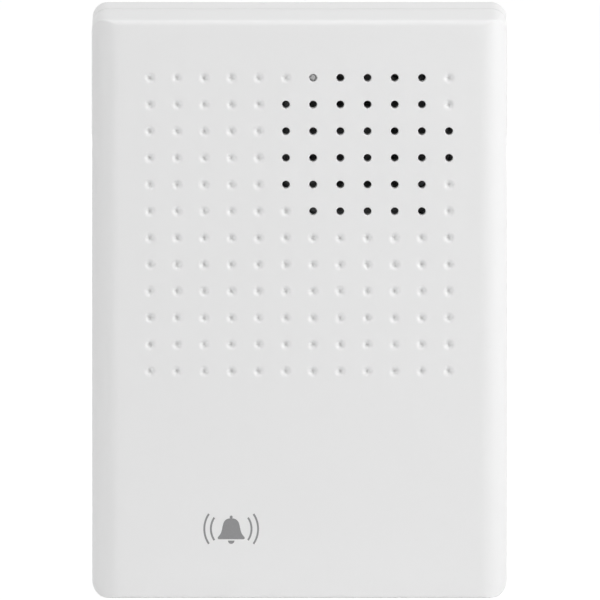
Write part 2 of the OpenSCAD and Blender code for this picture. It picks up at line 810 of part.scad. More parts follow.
// Cage that is drawn up by the screw and clamps the wire under the bar
module clamp_cage(i) color("lightgray") stand() at_pole(i) translate([0, 0, cage_rest]) difference() {
    translate([-cage_w / 2, -cage_l / 2, 0]) cube([cage_w, cage_l, cage_h]);
    translate([cage_side - cage_w / 2, -cage_l / 2 - bond, cage_floor])
        cube([cage_w - 2 * cage_side, cage_l + 2 * bond, cage_h - cage_floor - cage_top]);
    translate([0, 0, cage_floor + nip]) cylinder(r = term_screw_r + nip / 2, h = cage_h);
}

back_cover();
front_cover();
speaker_gasket();
speaker_basket();
speaker_surround();
speaker_top_plate();
speaker_magnet();
speaker_yoke();
speaker_tag_board();
speaker_lugs();
speaker_glue();
speaker_cone();
dust_cap();
coil_former();
voice_coil();
speaker_wire_red();
speaker_wire_black();
circuit_board();
board_screws();
melody_chip();
filter_capacitor();
coupling_capacitor();
driver_transistor();
zener_diode();
resistors();
ceramic_capacitors();
terminal_housing();
contact_bars();
for (i = [1:poles]) {
    terminal_screw(i);
    clamp_cage(i);
}
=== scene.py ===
"""Looks of a wired door chime, built over the fixed frame of its solids.

Sizes are in millimetres until a place becomes a vertex. A place is x to the right, up the wall,
and out from the wall; row() turns it into the frame's metres.
"""

from __future__ import annotations

import logging
import math
from abc import ABC, abstractmethod
from dataclasses import dataclass
from enum import Enum
from itertools import product
from typing import Iterable, Mapping, Optional, Sequence, Union

import bmesh
import bpy
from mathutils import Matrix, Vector, noise
from mathutils.geometry import delaunay_2d_cdt


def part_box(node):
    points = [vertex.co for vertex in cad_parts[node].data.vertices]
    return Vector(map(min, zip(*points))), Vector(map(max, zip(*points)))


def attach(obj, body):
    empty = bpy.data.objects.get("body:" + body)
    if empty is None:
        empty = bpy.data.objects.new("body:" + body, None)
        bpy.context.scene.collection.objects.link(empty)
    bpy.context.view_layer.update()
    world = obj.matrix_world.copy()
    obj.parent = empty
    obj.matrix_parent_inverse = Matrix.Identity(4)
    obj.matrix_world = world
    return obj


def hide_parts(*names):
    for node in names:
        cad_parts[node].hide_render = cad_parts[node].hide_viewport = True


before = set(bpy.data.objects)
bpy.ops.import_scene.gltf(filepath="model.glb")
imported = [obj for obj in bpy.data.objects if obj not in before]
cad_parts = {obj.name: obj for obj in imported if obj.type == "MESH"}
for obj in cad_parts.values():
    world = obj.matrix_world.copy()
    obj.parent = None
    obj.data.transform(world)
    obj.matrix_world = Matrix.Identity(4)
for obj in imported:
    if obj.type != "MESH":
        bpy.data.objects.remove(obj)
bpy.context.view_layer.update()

MM = 0.001
log = logging.getLogger("door_chime")

Colour = tuple[float, float, float]
Flat = tuple[float, float]
Place = tuple[float, float, float]


class Mark(Enum):
    """What one point of the grille's grid is."""

    OPEN = "open"
    BLIND = "blind"
    DIMPLE = "dimple"


class Axis(Enum):
    """Direction in which a small part lies, as an index of the frame's axes."""

    ACROSS = 0
    OUT = 1
    UP = 2


def row(x: float, up: float, out: float) -> Vector:
    """Turns a place in millimetres into a point of the frame."""
    return Vector((x, -out, up)) * MM


def span(node: str) -> tuple[Place, Place]:
    """Lowest and highest place of a solid's box.

    Args:
        node: Name of the solid.

    Returns:
        Both places, to a thousandth of a millimetre.
    """
    low, high = (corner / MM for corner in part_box(node))
    ends = (low.x, low.z, -high.y), (high.x, high.z, -low.y)
    return tuple(tuple(round(value, 3) for value in place) for place in ends)


def middle(node: str) -> Flat:
    """Middle of a solid, as the room sees it."""
    low, high = span(node)
    return (low[0] + high[0]) / 2, (low[1] + high[1]) / 2


def polar(centre: Flat, radius: float, degrees: float) -> Flat:
    """Place at a radius from a centre; angles count against the clock from the right."""
    angle = math.radians(degrees)
    return centre[0] + radius * math.cos(angle), centre[1] + radius * math.sin(angle)


def circle(centre: Flat, radius: float, sides: int) -> list[Flat]:
    """Points of a circle."""
    return [polar(centre, radius, 360 * k / sides) for k in range(sides)]


def sweep(centre: float, reach: float, steps: int) -> list[float]:
    """Even values from a reach before a centre to a reach after it."""
    return [centre + reach * (2 * k / steps - 1) for k in range(steps + 1)]


def quarter(radius: float, steps: int) -> list[Flat]:
    """Points of a quarter round, as distances in from its side and down from its top."""
    turns = [math.pi / 2 * k / steps for k in range(steps + 1)]
    return [(radius * (1 - math.cos(turn)), radius * (1 - math.sin(turn))) for turn in turns]


def bezier(corners: Sequence[Sequence[float]], steps: int) -> list[tuple[float, ...]]:
    """Points of a cubic curve.

    Args:
        corners: Its start, its two handles and its end.
        steps: Number of stretches.

    Returns:
        The points from start to end.
    """
    points = []
    for k in range(steps + 1):
        t = k / steps
        weights = ((1 - t) ** 3, 3 * t * (1 - t) ** 2, 3 * t * t * (1 - t), t**3)
        points.append(tuple(sum(w * c for w, c in zip(weights, axis)) for axis in zip(*corners)))
    return points


def spread(centre: float, step: float, count: int) -> list[float]:
    """Even values, a step apart, around a centre."""
    return sweep(centre, step * (count - 1) / 2, count - 1)


SPEAKER = middle("speaker_gasket")
SPEAKER_RADIUS = span("speaker_gasket")[1][0] - SPEAKER[0]
FENCE_GAP = 0.2
FENCE_RADIUS = SPEAKER_RADIUS + FENCE_GAP
DIAGONALS = (45, 135, 225, 315)
BOARD = middle("circuit_board")
BOARD_REAR = span("circuit_board")[0][2]
BOARD_FRONT = span("circuit_board")[1][2]
POLES = 4
WIRE_RADIUS = 0.6


def on_board(x: float, up: float) -> Flat:
    """Place on the wall of a place that is counted from the board's middle."""
    return BOARD[0] + x, BOARD[1] + up


def wire_ends(name: str) -> tuple[Place, Place]:
    """Where a wire of the loudspeaker is soldered, from the box of its solid.

    Args:
        name: Colour of the wire.

    Returns:
        Its place on the lug, up on the left, and its place on the board, down on the right.
    """
    low, high = span(f"speaker_wire_{name}")
    lug = low[0] + WIRE_RADIUS, high[1] - WIRE_RADIUS, span("speaker_lugs")[0][2]
    pad = high[0] - WIRE_RADIUS, low[1] + WIRE_RADIUS, BOARD_REAR
    return lug, pad


class Signal:
    """A shader socket that takes part in Python expressions."""

    def __init__(self, tree: NodeTree, socket: bpy.types.NodeSocket) -> None:
        """Keeps the socket with the tree that it belongs to."""
        self.tree = tree
        self.socket = socket

    def _math(self, operation: str, *feeds: Feed) -> Signal:
        """Adds the Math node of an expression."""
        return self.tree.node("ShaderNodeMath", {"operation": operation}, dict(enumerate(feeds)))

    def __add__(self, other: Feed) -> Signal:
        """Sum."""
        return self._math("ADD", self, other)

    def __radd__(self, other: Feed) -> Signal:
        """Sum with a number first."""
        return self._math("ADD", other, self)

    def __sub__(self, other: Feed) -> Signal:
        """Difference."""
        return self._math("SUBTRACT", self, other)

    def __rsub__(self, other: Feed) -> Signal:
        """Difference from a number."""
        return self._math("SUBTRACT", other, self)

    def __mul__(self, other: Feed) -> Signal:
        """Product."""
        return self._math("MULTIPLY", self, other)

    def __rmul__(self, other: Feed) -> Signal:
        """Product with a number first."""
        return self._math("MULTIPLY", other, self)

    def __truediv__(self, other: Feed) -> Signal:
        """Quotient."""
        return self._math("DIVIDE", self, other)

    def __rtruediv__(self, other: Feed) -> Signal:
        """Quotient with a number first."""
        return self._math("DIVIDE", other, self)

    def __pow__(self, other: Feed) -> Signal:
        """Power."""
        return self._math("POWER", self, other)

    def __rpow__(self, other: Feed) -> Signal:
        """Power of a number."""
        return self._math("POWER", other, self)

    def __abs__(self) -> Signal:
        """Size without its sign."""
        return self._math("ABSOLUTE", self)

    def sine(self) -> Signal:
        """Sine of an angle in radians."""
        return self._math("SINE", self)

    def either(self, other: Feed) -> Signal:
        """The larger of two masks."""
        return self._math("MAXIMUM", self, other)

    def both(self, other: Feed) -> Signal:
        """The smaller of two masks."""
        return self._math("MINIMUM", self, other)

    def over(self, level: Feed, blur: float) -> Signal:
        """A mask that rises from 0 to 1 where the value passes a level.

        Args:
            level: Value in the middle of the rise.
            blur: Width of the rise.

        Returns:
            The mask.
        """
        return self.tree.node(
            "ShaderNodeMapRange",
            {"interpolation_type": "SMOOTHSTEP", "clamp": True},
            {"Value": self - level, "From Min": -blur / 2, "From Max": blur / 2},
        )

    def near(self, level: Feed, reach: float, blur: float) -> Signal:
        """A mask that is 1 where the value is within reach of a level."""
        return 1 - abs(self - level).over(reach, blur)


Feed = Union[Signal, float, int, Sequence[float]]


class NodeTree:
    """A node tree in the making."""

    def __init__(self, tree: bpy.types.NodeTree) -> None:
        """Empties the tree."""
        self.tree = tree
        self.tree.nodes.clear()

    def feed(self, socket: bpy.types.NodeSocket, value: Feed) -> None:
        """Links a signal to a socket, or sets a plain value on it.

        Args:
            socket: Input to feed.
            value: Signal, number, or the parts of a colour or vector.
        """
        if isinstance(value, Signal):
            self.tree.links.new(value.socket, socket)
        elif socket.type == "RGBA":
            socket.default_value = (*value, 1.0)
        else:
            socket.default_value = value

    def node(
        self,
        kind: str,
        settings: Optional[Mapping[str, object]] = None,
        inputs: Optional[Mapping[Union[str, int], Feed]] = None,
        output: Union[str, int] = 0,
    ) -> Signal:
        """Adds any node.

        Args:
            kind: Blender's type of the node.
            settings: Its properties, set first; "stops" are a ramp's (position, colour) pairs.
            inputs: Values or links of its sockets.
            output: Socket that is handed back.

        Returns:
            Signal of that socket.
        """
        made = self.tree.nodes.new(kind)
        for key, value in (settings or {}).items():
            if key == "stops":
                self._step(made.color_ramp, value)
            else:
                setattr(made, key, value)
        for key, value in (inputs or {}).items():
            self.feed(made.inputs[key], value)
        return Signal(self, made.outputs[output])

    @staticmethod
    def _step(ramp: bpy.types.ColorRamp, stops: Sequence[tuple[float, Colour]]) -> None:
        """Gives a ramp plain steps of colour.

        Args:
            ramp: New ramp, which has its first and its last stop.
            stops: Pairs of position and colour, in order.
        """
        ramp.interpolation = "CONSTANT"
        for position, colour in stops[1:-1]:
            ramp.elements.new(position).color = (*colour, 1.0)
        for end in (0, -1):
            position, colour = stops[end]
            ramp.elements[end].position = position
            ramp.elements[end].color = (*colour, 1.0)

    def end(self, kind: str, shader: Signal) -> None:
        """Ends the tree with an output node of a kind."""
        self.feed(self.tree.nodes.new(kind).inputs["Surface"], shader)

    def seen(self) -> Signal:
        """A mask of the rays that look at a surface.

        Returns:
            1 where the look is straight, by reflection or through glass.
        """
        rays = ("Is Camera Ray", "Is Glossy Ray", "Is Transmission Ray")
        straight, glossy, through = (self.node("ShaderNodeLightPath", output=ray) for ray in rays)
        return straight.either(glossy).either(through)


class Recipe(NodeTree):
    """The node tree of a material that ends in a principled shader."""

    def __init__(self, name: str) -> None:
        """Makes the material with its shader, output and coordinates in millimetres.

        Args:
            name: Name of the material.
        """
        self.material = bpy.data.materials.new(name)
        self.material.use_nodes = True
        super().__init__(self.material.node_tree)
        self.shader = self.tree.nodes.new("ShaderNodeBsdfPrincipled")
        self.end("ShaderNodeOutputMaterial", Signal(self, self.shader.outputs[0]))
        self.place = self.shade(self.node("ShaderNodeTexCoord", output="Object"), 1 / MM)

    def along(self, axis: Axis) -> Signal:
        """Place along one axis in millimetres; out from the wall counts as positive."""
        value = self.node("ShaderNodeSeparateXYZ", inputs={0: self.place}, output=axis.value)
        return 0 - value if axis is Axis.OUT else value

    def noise(self, per_mm: float, detail: float = 2.0, stretch: Place = (1, 1, 1)) -> Signal:
        """Soft random values around a half.

        Args:
            per_mm: Features per millimetre.
            detail: Number of finer layers.
            stretch: Factors on the three coordinates.

        Returns:
            The values, mostly from 0.3 to 0.7.
        """
        drawn = self.node("ShaderNodeVectorMath", {"operation": "MULTIPLY"}, {0: self.place, 1: stretch})
        return self.node("ShaderNodeTexNoise", None, {"Vector": drawn, "Scale": per_mm, "Detail": detail})

    def cells(self, per_mm: float) -> Signal:
        """Distance to the nearest of evenly strewn points."""
        return self.node("ShaderNodeTexVoronoi", None, {"Vector": self.place, "Scale": per_mm})

    def blend(self, mask: Feed, first: Feed, second: Feed) -> Signal:
        """Colour between two, by a mask."""
        return self.node("ShaderNodeMix", {"data_type": "RGBA"}, {0: mask, 6: first, 7: second}, 2)

    def shade(self, colour: Feed, tone: Feed) -> Signal:
        """A colour or vector times a number."""
        return self.node("ShaderNodeVectorMath", {"operation": "SCALE"}, {0: colour, "Scale": tone})

    def relief(self, height: Feed, depth: float, edge: float = 0.0) -> Signal:
        """Normal of a fine relief, with softened edges.

        Args:
            height: Height from 0 to 1.
            depth: Depth of the relief in millimetres.
            edge: Radius of the softened edges in millimetres.

        Returns:
            The normal.
        """
        inputs: dict[str, Feed] = {"Height": height, "Distance": depth * MM, "Strength": 1.0}
        if edge:
            inputs["Normal"] = self.node("ShaderNodeBevel", {"samples": 6}, {"Radius": edge * MM})
        return self.node("ShaderNodeBump", None, inputs)

    def surface(self, **values: Feed) -> None:
        """Feeds sockets of the principled shader, whose names are written with underscores."""
        for key, value in values.items():
            self.feed(self.shader.inputs[key.replace("_", " ").title()], value)


TIN: Colour = (0.62, 0.62, 0.6)
LEG_GLOSS = 0.35


@dataclass(frozen=True)
class Finish(ABC):
    """A finish that pieces of the chime share."""

    name: str

    @abstractmethod
    def paint(self, r: Recipe) -> None:
        """Builds the finish's nodes."""

    def dress(self, piece: bpy.types.Object) -> None:
        """Gives a piece this finish alone; its material is made once.

        Args:
            piece: Piece to dress.
        """
        made = bpy.data.materials.get(self.name)
        if made is None:
            recipe = Recipe(self.name)
            self.paint(recipe)
            made = recipe.material
        piece.data.materials.clear()
        piece.data.materials.append(made)


@dataclass(frozen=True)
class MouldedPlastic(Finish):
    """Moulded plastic with the fine grain of its tool; its metal legs begin at legs_out."""

    colour: Colour
    roughness: float = 0.45
    grain: float = 5.0
    depth: float = 0.01
    mottle: float = 0.03
    edge: float = 0.12
    legs_out: Optional[float] = None

    def paint(self, r: Recipe) -> None:
        """Faint clouds in the colour, and grain in the gloss and the relief.

        Args:
            r: Recipe of the material.
        """
        cloud = r.noise(0.07, 3.0)
        fine = r.noise(self.grain, 3.0)
        tone = 1 + (cloud - 0.5) * self.mottle + (fine - 0.5) * self.mottle
        colour, metal = r.shade(self.colour, tone), 0.0
        rough = self.roughness + (fine - 0.5) * 0.14 + (cloud - 0.5) * 0.08
        if self.legs_out is not None:
            metal = r.along(Axis.OUT).over(self.legs_out, 0.05)
            colour = r.blend(metal, colour, r.shade(TIN, 0.8 + fine * 0.4))
            rough = rough + metal * (LEG_GLOSS - self.roughness)
        normal = r.relief(fine, self.depth, self.edge)
        r.surface(base_color=colour, metallic=metal, roughness=rough, normal=normal)


@dataclass(frozen=True)
class PlatedMetal(Finish):
    """Plated sheet or bar metal with drawing lines and a faint tint in its coat."""

    colour: Colour
    tint: Colour
    roughness: float = 0.3
    edge: float = 0.06

    def paint(self, r: Recipe) -> None:
        """Clouds of the tint, drawing lines and a few darker specks.

        Args:
            r: Recipe of the material.
        """
        haze = r.noise(0.35, 3.0)
        lines = r.noise(9.0, 2.0, (1, 1, 0.06))
        specks = r.cells(2.3).over(0.12, 0.08)
        coat = r.blend(haze.over(0.5, 0.5), self.colour, self.tint)
        r.surface(
            base_color=r.shade(coat, 0.86 + lines * 0.16 + specks * 0.06),
            metallic=1.0,
            roughness=self.roughness + (lines - 0.5) * 0.3 + (haze - 0.5) * 0.12,
            normal=r.relief(lines, 0.004, self.edge),
        )


@dataclass(frozen=True)
class Ferrite(Finish):
    """Sintered magnet: dark, dull, with grains that carry painted glints, and grinding marks."""

    colour: Colour = (0.075, 0.077, 0.082)

    def paint(self, r: Recipe) -> None:
        """Speckled grey with painted glints and a coarse relief.

        Args:
            r: Recipe of the material.
        """
        grain = r.noise(3.2, 4.0)
        marks = r.noise(5.0, 1.0, (1, 1, 0.08))
        # painted glints: the colour is lighter on the grains that glint
        glint = 1 - r.cells(3.0).over(0.16, 0.06)
        r.surface(
            base_color=r.shade(self.colour, 0.6 + grain * 0.7 + glint * 0.8),
            roughness=0.62 - glint * 0.2,
            normal=r.relief(grain * 0.7 + marks * 0.3, 0.02, 0.12),
        )


@dataclass(frozen=True)
class Paper(Finish):
    """Pressed or rolled paper with fibres lying all ways and uneven patches, which on the loudspeaker's cone
    and cap are painted glints.
    """

    colour: Colour
    fleck: Colour
    roughness: float = 0.85
    depth: float = 0.02
    patches_and_glints: float = 0.2

    def paint(self, r: Recipe) -> None:
        """Two crossing layers of fibres, some loose flecks and slow patches of tone, which stand for painted
        glints where they are strong.

        Args:
            r: Recipe of the material.
        """
        fibres = (r.noise(2.4, 3.0, (1, 1, 0.12)) + r.noise(2.4, 3.0, (0.12, 1, 1))) / 2
        flecks = r.noise(1.6, 5.0, (0.4, 1, 1)).over(0.63, 0.08)
        # slow patches of tone; at the cone's and the cap's strength they are painted glints
        tone = 0.55 + fibres * 0.9 + (r.noise(0.22, 2.0) - 0.5) * (4 * self.patches_and_glints)
        r.surface(
            base_color=r.blend(flecks * 0.5, r.shade(self.colour, tone), self.fleck),
            roughness=self.roughness + (fibres - 0.5) * 0.2,
            normal=r.relief(fibres, self.depth, 0.06),
        )


@dataclass(frozen=True)
class Foam(Finish):
    """Open-cell foam."""

    colour: Colour

    def paint(self, r: Recipe) -> None:
        """Pores of two sizes, with painted shade in them.

        Args:
            r: Recipe of the material.
        """
        pores = r.cells(2.6) * 0.65 + r.cells(6.0) * 0.35
        # painted shade: darker where the relief is low, in the pores
        colour = r.shade(self.colour, 1.25 - pores * 0.9)
        r.surface(base_color=colour, roughness=0.95, normal=r.relief(1 - pores, 0.12))


@dataclass(frozen=True)
class DampedFilm(Finish):
    """Film or paper edge with a tacky damping coat."""

    colour: Colour

    def paint(self, r: Recipe) -> None:
        """Brushed-on coat that is glossier where it is thick.

        Args:
            r: Recipe of the material.
        """
        coat = r.noise(0.8, 3.0)
        weave = r.noise(7.0, 1.0)
        r.surface(
            base_color=r.shade(self.colour, 0.7 + coat * 0.6),
            roughness=0.62 - coat.over(0.5, 0.3) * 0.25,
            normal=r.relief(weave * 0.6 + coat * 0.4, 0.02),
        )


@dataclass(frozen=True)
class CopperWinding(Finish):
    """Close turns of enamelled wire."""

    copper: Colour = (0.72, 0.29, 0.12)
    groove_shade: Colour = (0.21, 0.055, 0.018)
    turns_per_mm: float = 7.0

    def paint(self, r: Recipe) -> None:
        """Ridges of the turns, with painted shade between them.

        Args:
            r: Recipe of the material.
        """
        turns = (r.along(Axis.OUT) * (math.tau * self.turns_per_mm)).sine() * 0.5 + 0.5
        cloud = r.noise(0.9, 3.0)
        r.surface(
            # painted shade: the colour darkens between the turns, where the grooves lie
            base_color=r.blend(turns * 0.8 + cloud * 0.2, self.groove_shade, self.copper),
            metallic=0.9,
            roughness=0.26 + (1 - turns) * 0.2,
            normal=r.relief(turns, 0.03),
        )


@dataclass(frozen=True)
class WireSkin(Finish):
    """Extruded soft insulation."""

    colour: Colour

    def paint(self, r: Recipe) -> None:
        """Slightly waxy, with handling marks in the gloss.

        Args:
            r: Recipe of the material.
        """
        dull = r.noise(0.9, 4.0)
        fine = r.noise(6.0, 2.0)
        r.surface(
            base_color=r.shade(self.colour, 0.88 + dull * 0.24),
            roughness=0.34 + (dull - 0.5) * 0.3,
            normal=r.relief(fine, 0.012),
        )


@dataclass(frozen=True)
class Laminate(Finish):
    """Board material under its lacquer, with the cloth inside showing faintly; bare at its edges."""

    colour: Colour
    bare: Colour
    faces: Flat

    def paint(self, r: Recipe) -> None:
        """Weave under the lacquer, and the cut edge without it.

        Args:
            r: Recipe of the material.
        """
        across, up, out = (r.along(axis) for axis in (Axis.ACROSS, Axis.UP, Axis.OUT))
        weave = ((across * 9.0).sine() * (up * 9.0).sine()) * 0.5 + 0.5
        cloud = r.noise(0.25, 3.0)
        rear, front = (out.near(face, 0.06, 0.03) for face in self.faces)
        skin = rear.either(front)
        lacquer = r.shade(self.colour, 0.84 + weave * 0.12 + cloud * 0.2)
        cut = r.shade(self.bare, 0.7 + r.noise(4.0, 3.0, (1, 6, 1)) * 0.6)
        r.surface(
            base_color=r.blend(skin, cut, lacquer),
            roughness=0.75 - skin * 0.42 + (cloud - 0.5) * 0.1,
            normal=r.relief(weave * 0.4 + cloud * 0.6, 0.006, 0.05),
        )


@dataclass(frozen=True)
class CanSleeve(Finish):
    """Shrunk sleeve of a can capacitor, with a polarity stripe, a bare scored end and tinned leads.

    The can lies along an axis from foot to end, about a centre given on the two other axes.
    """

    axis: Axis
    centre: Flat
    radius: float
    foot: float
    end: float
    colour: Colour = (0.012, 0.018, 0.06)
    stripe: Colour = (0.5, 0.52, 0.56)
    bare: Colour = (0.75, 0.75, 0.76)

    def paint(self, r: Recipe) -> None:
        """Sleeve, stripe with dashes, end with its score lines and painted shade in them, leads.

        Args:
            r: Recipe of the material.
        """
        forward = 1.0 if self.end > self.foot else -1.0
        others = [a for a in (Axis.ACROSS, Axis.UP, Axis.OUT) if a is not self.axis]
        reach = (r.along(self.axis) - self.foot) * forward
        first, second = (r.along(a) - c for a, c in zip(others, self.centre))
        from_axis = (first**2 + second**2) ** 0.5
        length = abs(self.end - self.foot)
        side = (0 - second).over(0.0, 0.02).both(first.near(0, self.radius * 0.36, 0.06))
        dash = (reach * 2.4).sine().over(-0.35, 0.1).both(first.near(0, self.radius * 0.09, 0.05))
        disc = reach.over(length - 0.12, 0.05).both(1 - from_axis.over(self.radius * 0.84, 0.08))
        score = first.near(0, 0.07, 0.06).either(second.near(0, 0.07, 0.06))
        leads = 1 - reach.over(-0.05, 0.04)
        shrink = r.noise(1.2, 3.0)
        sleeve = r.blend(side, self.colour, r.blend(dash, self.stripe, self.colour))
        # painted shade: the score lines darken the bare metal
        metal = r.shade(self.bare, 0.85 + shrink * 0.3 - score * 0.45)
        bare = disc.either(leads)
        r.surface(
            base_color=r.blend(bare, r.shade(sleeve, 0.85 + shrink * 0.3), metal),
            metallic=bare,
            roughness=0.3 + (shrink - 0.5) * 0.25,
            normal=r.relief(shrink * 0.3 - score.both(disc) * 0.7, 0.05, 0.08),
        )


@dataclass(frozen=True)
class BandedBody(Finish):
    """Round body with painted bands between tinned leads; each part of a row has its own colours.

    A band is its place along the axis from the body's middle, and its colours along the row.
    """

    colour: Colour
    axis: Axis
    centre: float
    half: float
    bands: tuple[tuple[float, tuple[Colour, ...]], ...]
    band_half: float
    row_start: float = 0.0
    row_step: float = 1.0
    roughness: float = 0.38

    def paint(self, r: Recipe) -> None:
        """Body, bands and leads by their place along the axis.

        Args:
            r: Recipe of the material.
        """
        reach = r.along(self.axis) - self.centre
        mottle = r.noise(1.4, 3.0)
        which = (r.along(Axis.ACROSS) - self.row_start) / self.row_step + 0.5
        colour = r.shade(self.colour, 0.85 + mottle * 0.3)
        for offset, choice in self.bands:
            paint: Feed = choice[0]
            if len(choice) > 1:
                stops = [(k / len(choice), c) for k, c in enumerate(choice)]
                paint = r.node("ShaderNodeValToRGB", {"stops": stops}, {0: which / len(choice)})
            colour = r.blend(reach.near(offset, self.band_half, 0.06), colour, paint)
        leads = abs(reach).over(self.half, 0.04)
        r.surface(
            base_color=r.blend(leads, colour, TIN),
            metallic=leads,
            roughness=self.roughness + (mottle - 0.5) * 0.2,
            normal=r.relief(mottle, 0.02),
        )


@dataclass(frozen=True)
class Solder(Finish):
    """Set solder, bright with a dull frost."""

    colour: Colour = (0.66, 0.66, 0.67)

    def paint(self, r: Recipe) -> None:
        """Frost in the gloss and small ripples.

        Args:
            r: Recipe of the material.
        """
        frost = r.noise(2.2, 4.0)
        r.surface(
            base_color=r.shade(self.colour, 0.8 + frost * 0.4),
            metallic=1.0,
            roughness=0.22 + frost.over(0.5, 0.2) * 0.25,
            normal=r.relief(frost, 0.03),
        )


@dataclass(frozen=True)
class HotMelt(Finish):
    """Set hot-melt glue: milky, waxy, a little see-through at its edges."""

    amber: Colour = (0.72, 0.6, 0.36)
    milk: Colour = (0.86, 0.8, 0.64)

    def paint(self, r: Recipe) -> None:
        """Milky clouds and a smooth wavy skin.

        Args:
            r: Recipe of the material.
        """
        cloud = r.noise(0.9, 3.0)
        r.surface(
            base_color=r.blend(cloud, self.amber, self.milk),
            roughness=0.3 + (cloud - 0.5) * 0.2,
            subsurface_weight=0.35,
            subsurface_radius=(1.0, 0.7, 0.4),
            subsurface_scale=1.0 * MM,
            normal=r.relief(cloud, 0.08),
        )


@dataclass(frozen=True)
class Ink(Finish):
    """Thin print that lets a little of its ground through."""

    colour: Colour
    roughness: float = 0.55

    def paint(self, r: Recipe) -> None:
        """Uneven cover of the ink.

        Args:
            r: Recipe of the material.
        """
        cover = r.noise(3.0, 4.0)
        r.surface(
            base_color=r.shade(self.colour, 0.9 + cover * 0.2),
            roughness=self.roughness + (cover - 0.5) * 0.2,
            normal=r.relief(cover, 0.004),
        )


class MeshSketch:
    """Points and faces of a piece in the making."""

    def __init__(self) -> None:
        """Starts with nothing."""
        self.points: list[Vector] = []
        self.faces: list[Sequence[int]] = []

    def ring(self, places: Iterable[Place]) -> list[int]:
        """Adds a row of points.

        Args:
            places: Where they lie.

        Returns:
            Their numbers.
        """
        start = len(self.points)
        self.points.extend(row(*place) for place in places)
        return list(range(start, len(self.points)))

    def flat_ring(self, loop: Iterable[Flat], out: float) -> list[int]:
        """Adds a row of points at one distance from the wall."""
        return self.ring((x, up, out) for x, up in loop)

    def chain(self, rings: Sequence[Sequence[int]]) -> None:
        """Joins closed rings of equal length, one to the next; a point that repeats makes a triangle.

        Args:
            rings: Numbers of each ring's points.
        """
        for first, second in zip(rings, rings[1:]):
            for i in range(len(first)):
                corners = first[i - 1], first[i], second[i], second[i - 1]
                self.faces.append(tuple(dict.fromkeys(corners)))

    def loft(self, rings: Sequence[Sequence[int]]) -> None:
        """Joins rings into a closed solid."""
        self.chain(rings)
        self.faces += [tuple(rings[0]), tuple(rings[-1])]

    def fill(self, outer: Sequence[int], holes: Sequence[Sequence[int]]) -> None:
        """Fills a flat region that has round holes with well-shaped triangles.

        Args:
            outer: Ring around the region.
            holes: Rings that stay open.
        """
        numbers, homes, edges = [], [], []
        for home, loop in enumerate((outer, *holes)):
            start, count = len(numbers), len(loop)
            numbers += loop
            homes += [home] * count
            edges += [(start + k, start + (k + 1) % count) for k in range(count)]
        flat = [self.points[i].xz / MM for i in numbers]
        inside_edges, same_point = 1, 1e-6
        _, _, triangles, origins, _, _ = delaunay_2d_cdt(flat, edges, [], inside_edges, same_point)
        for triangle in triangles:
            corners = [origins[k][0] for k in triangle]
            found = {homes[c] for c in corners}
            if len(found) > 1 or 0 in found:
                self.faces.append(tuple(numbers[c] for c in corners))

    def prism(self, loop: Sequence[Flat], low: float, high: float) -> None:
        """Adds a flat shape as a solid between two distances from the wall."""
        self.loft([self.flat_ring(loop, low), self.flat_ring(loop, high)])

    def frame_strip(self, inner: Sequence[Flat], outer: Sequence[Flat], low: float, high: float) -> None:
        """Adds the strip between two loops of equal length as a solid.

        Args:
            inner: Loop inside.
            outer: Loop around it.
            low: Distance of one face from the wall.
            high: Distance of the other.
        """
        edges = ((inner, low), (outer, low), (outer, high), (inner, high))
        rings = [self.flat_ring(*edge) for edge in edges]
        self.chain([*rings, rings[0]])

    def lathe(self, profile: Sequence[Flat], centre: Flat, sides: int = 40, closed: bool = False) -> None:
        """Turns a profile about a line square to the wall.

        Args:
            profile: Pairs of radius and distance from the wall; radius 0 ends in a tip.
            centre: Where the line meets the wall.
            sides: Steps around.
            closed: Whether the profile runs back to its start.
        """
        rings = []
        for radius, out in profile:
            if radius > 0:
                rings.append(self.flat_ring(circle(centre, radius, sides), out))
            else:
                rings.append(self.ring([(*centre, out)]) * sides)
        self.chain([*rings, rings[0]] if closed else rings)

    def tube(self, path: Sequence[Place], radius: float, sides: int) -> None:
        """Adds a round tube along a path.

        Args:
            path: Places that it passes through.
            radius: Its radius.
            sides: Steps around.
        """
        points = [Vector(place) for place in path]
        rings = []
        side = Vector((1, 0, 0))
        for i, point in enumerate(points):
            along = (points[min(i + 1, len(points) - 1)] - points[max(i - 1, 0)]).normalized()
            side = (side - along * side.dot(along)).normalized()
            other = along.cross(side)
            offsets = circle((0, 0), radius, sides)
            rings.append(self.ring(tuple(point + a * side + b * other) for a, b in offsets))
        self.loft(rings)

    def piece(self, name: str, finish: Finish, slot: str, sharp: float = 35.0) -> bpy.types.Object:
        """Makes the object, with its finish, on the body that carries the front.

        Args:
            name: Name of the piece.
            finish: Its finish.
            slot: The record's material slot, which is not used.
            sharp: Angle in degrees from which an edge stays sharp.

        Returns:
            The piece.
        """
        mesh = bpy.data.meshes.new(name)
        mesh.from_pydata(self.points, [], self.faces)
        work = bmesh.new()
        work.from_mesh(mesh)
        bmesh.ops.recalc_face_normals(work, faces=work.faces)
        work.to_mesh(mesh)
        work.free()
        mesh.shade_smooth()
        mesh.set_sharp_from_angle(angle=math.radians(sharp))
        made = bpy.data.objects.new(name, mesh)
        bpy.context.scene.collection.objects.link(made)
        finish.dress(made)
        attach(made, "front")
        log.info("%s: %d faces in %s", name, len(mesh.polygons), finish.name)
        return made


def dress_nodes(finishes: Mapping[str, Finish]) -> None:
    """Gives solids of the frame their finishes.

    Args:
        finishes: The finish of each solid by its name.
    """
    for name, finish in finishes.items():
        finish.dress(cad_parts[name])
        log.info("%s: %s", name, finish.name)


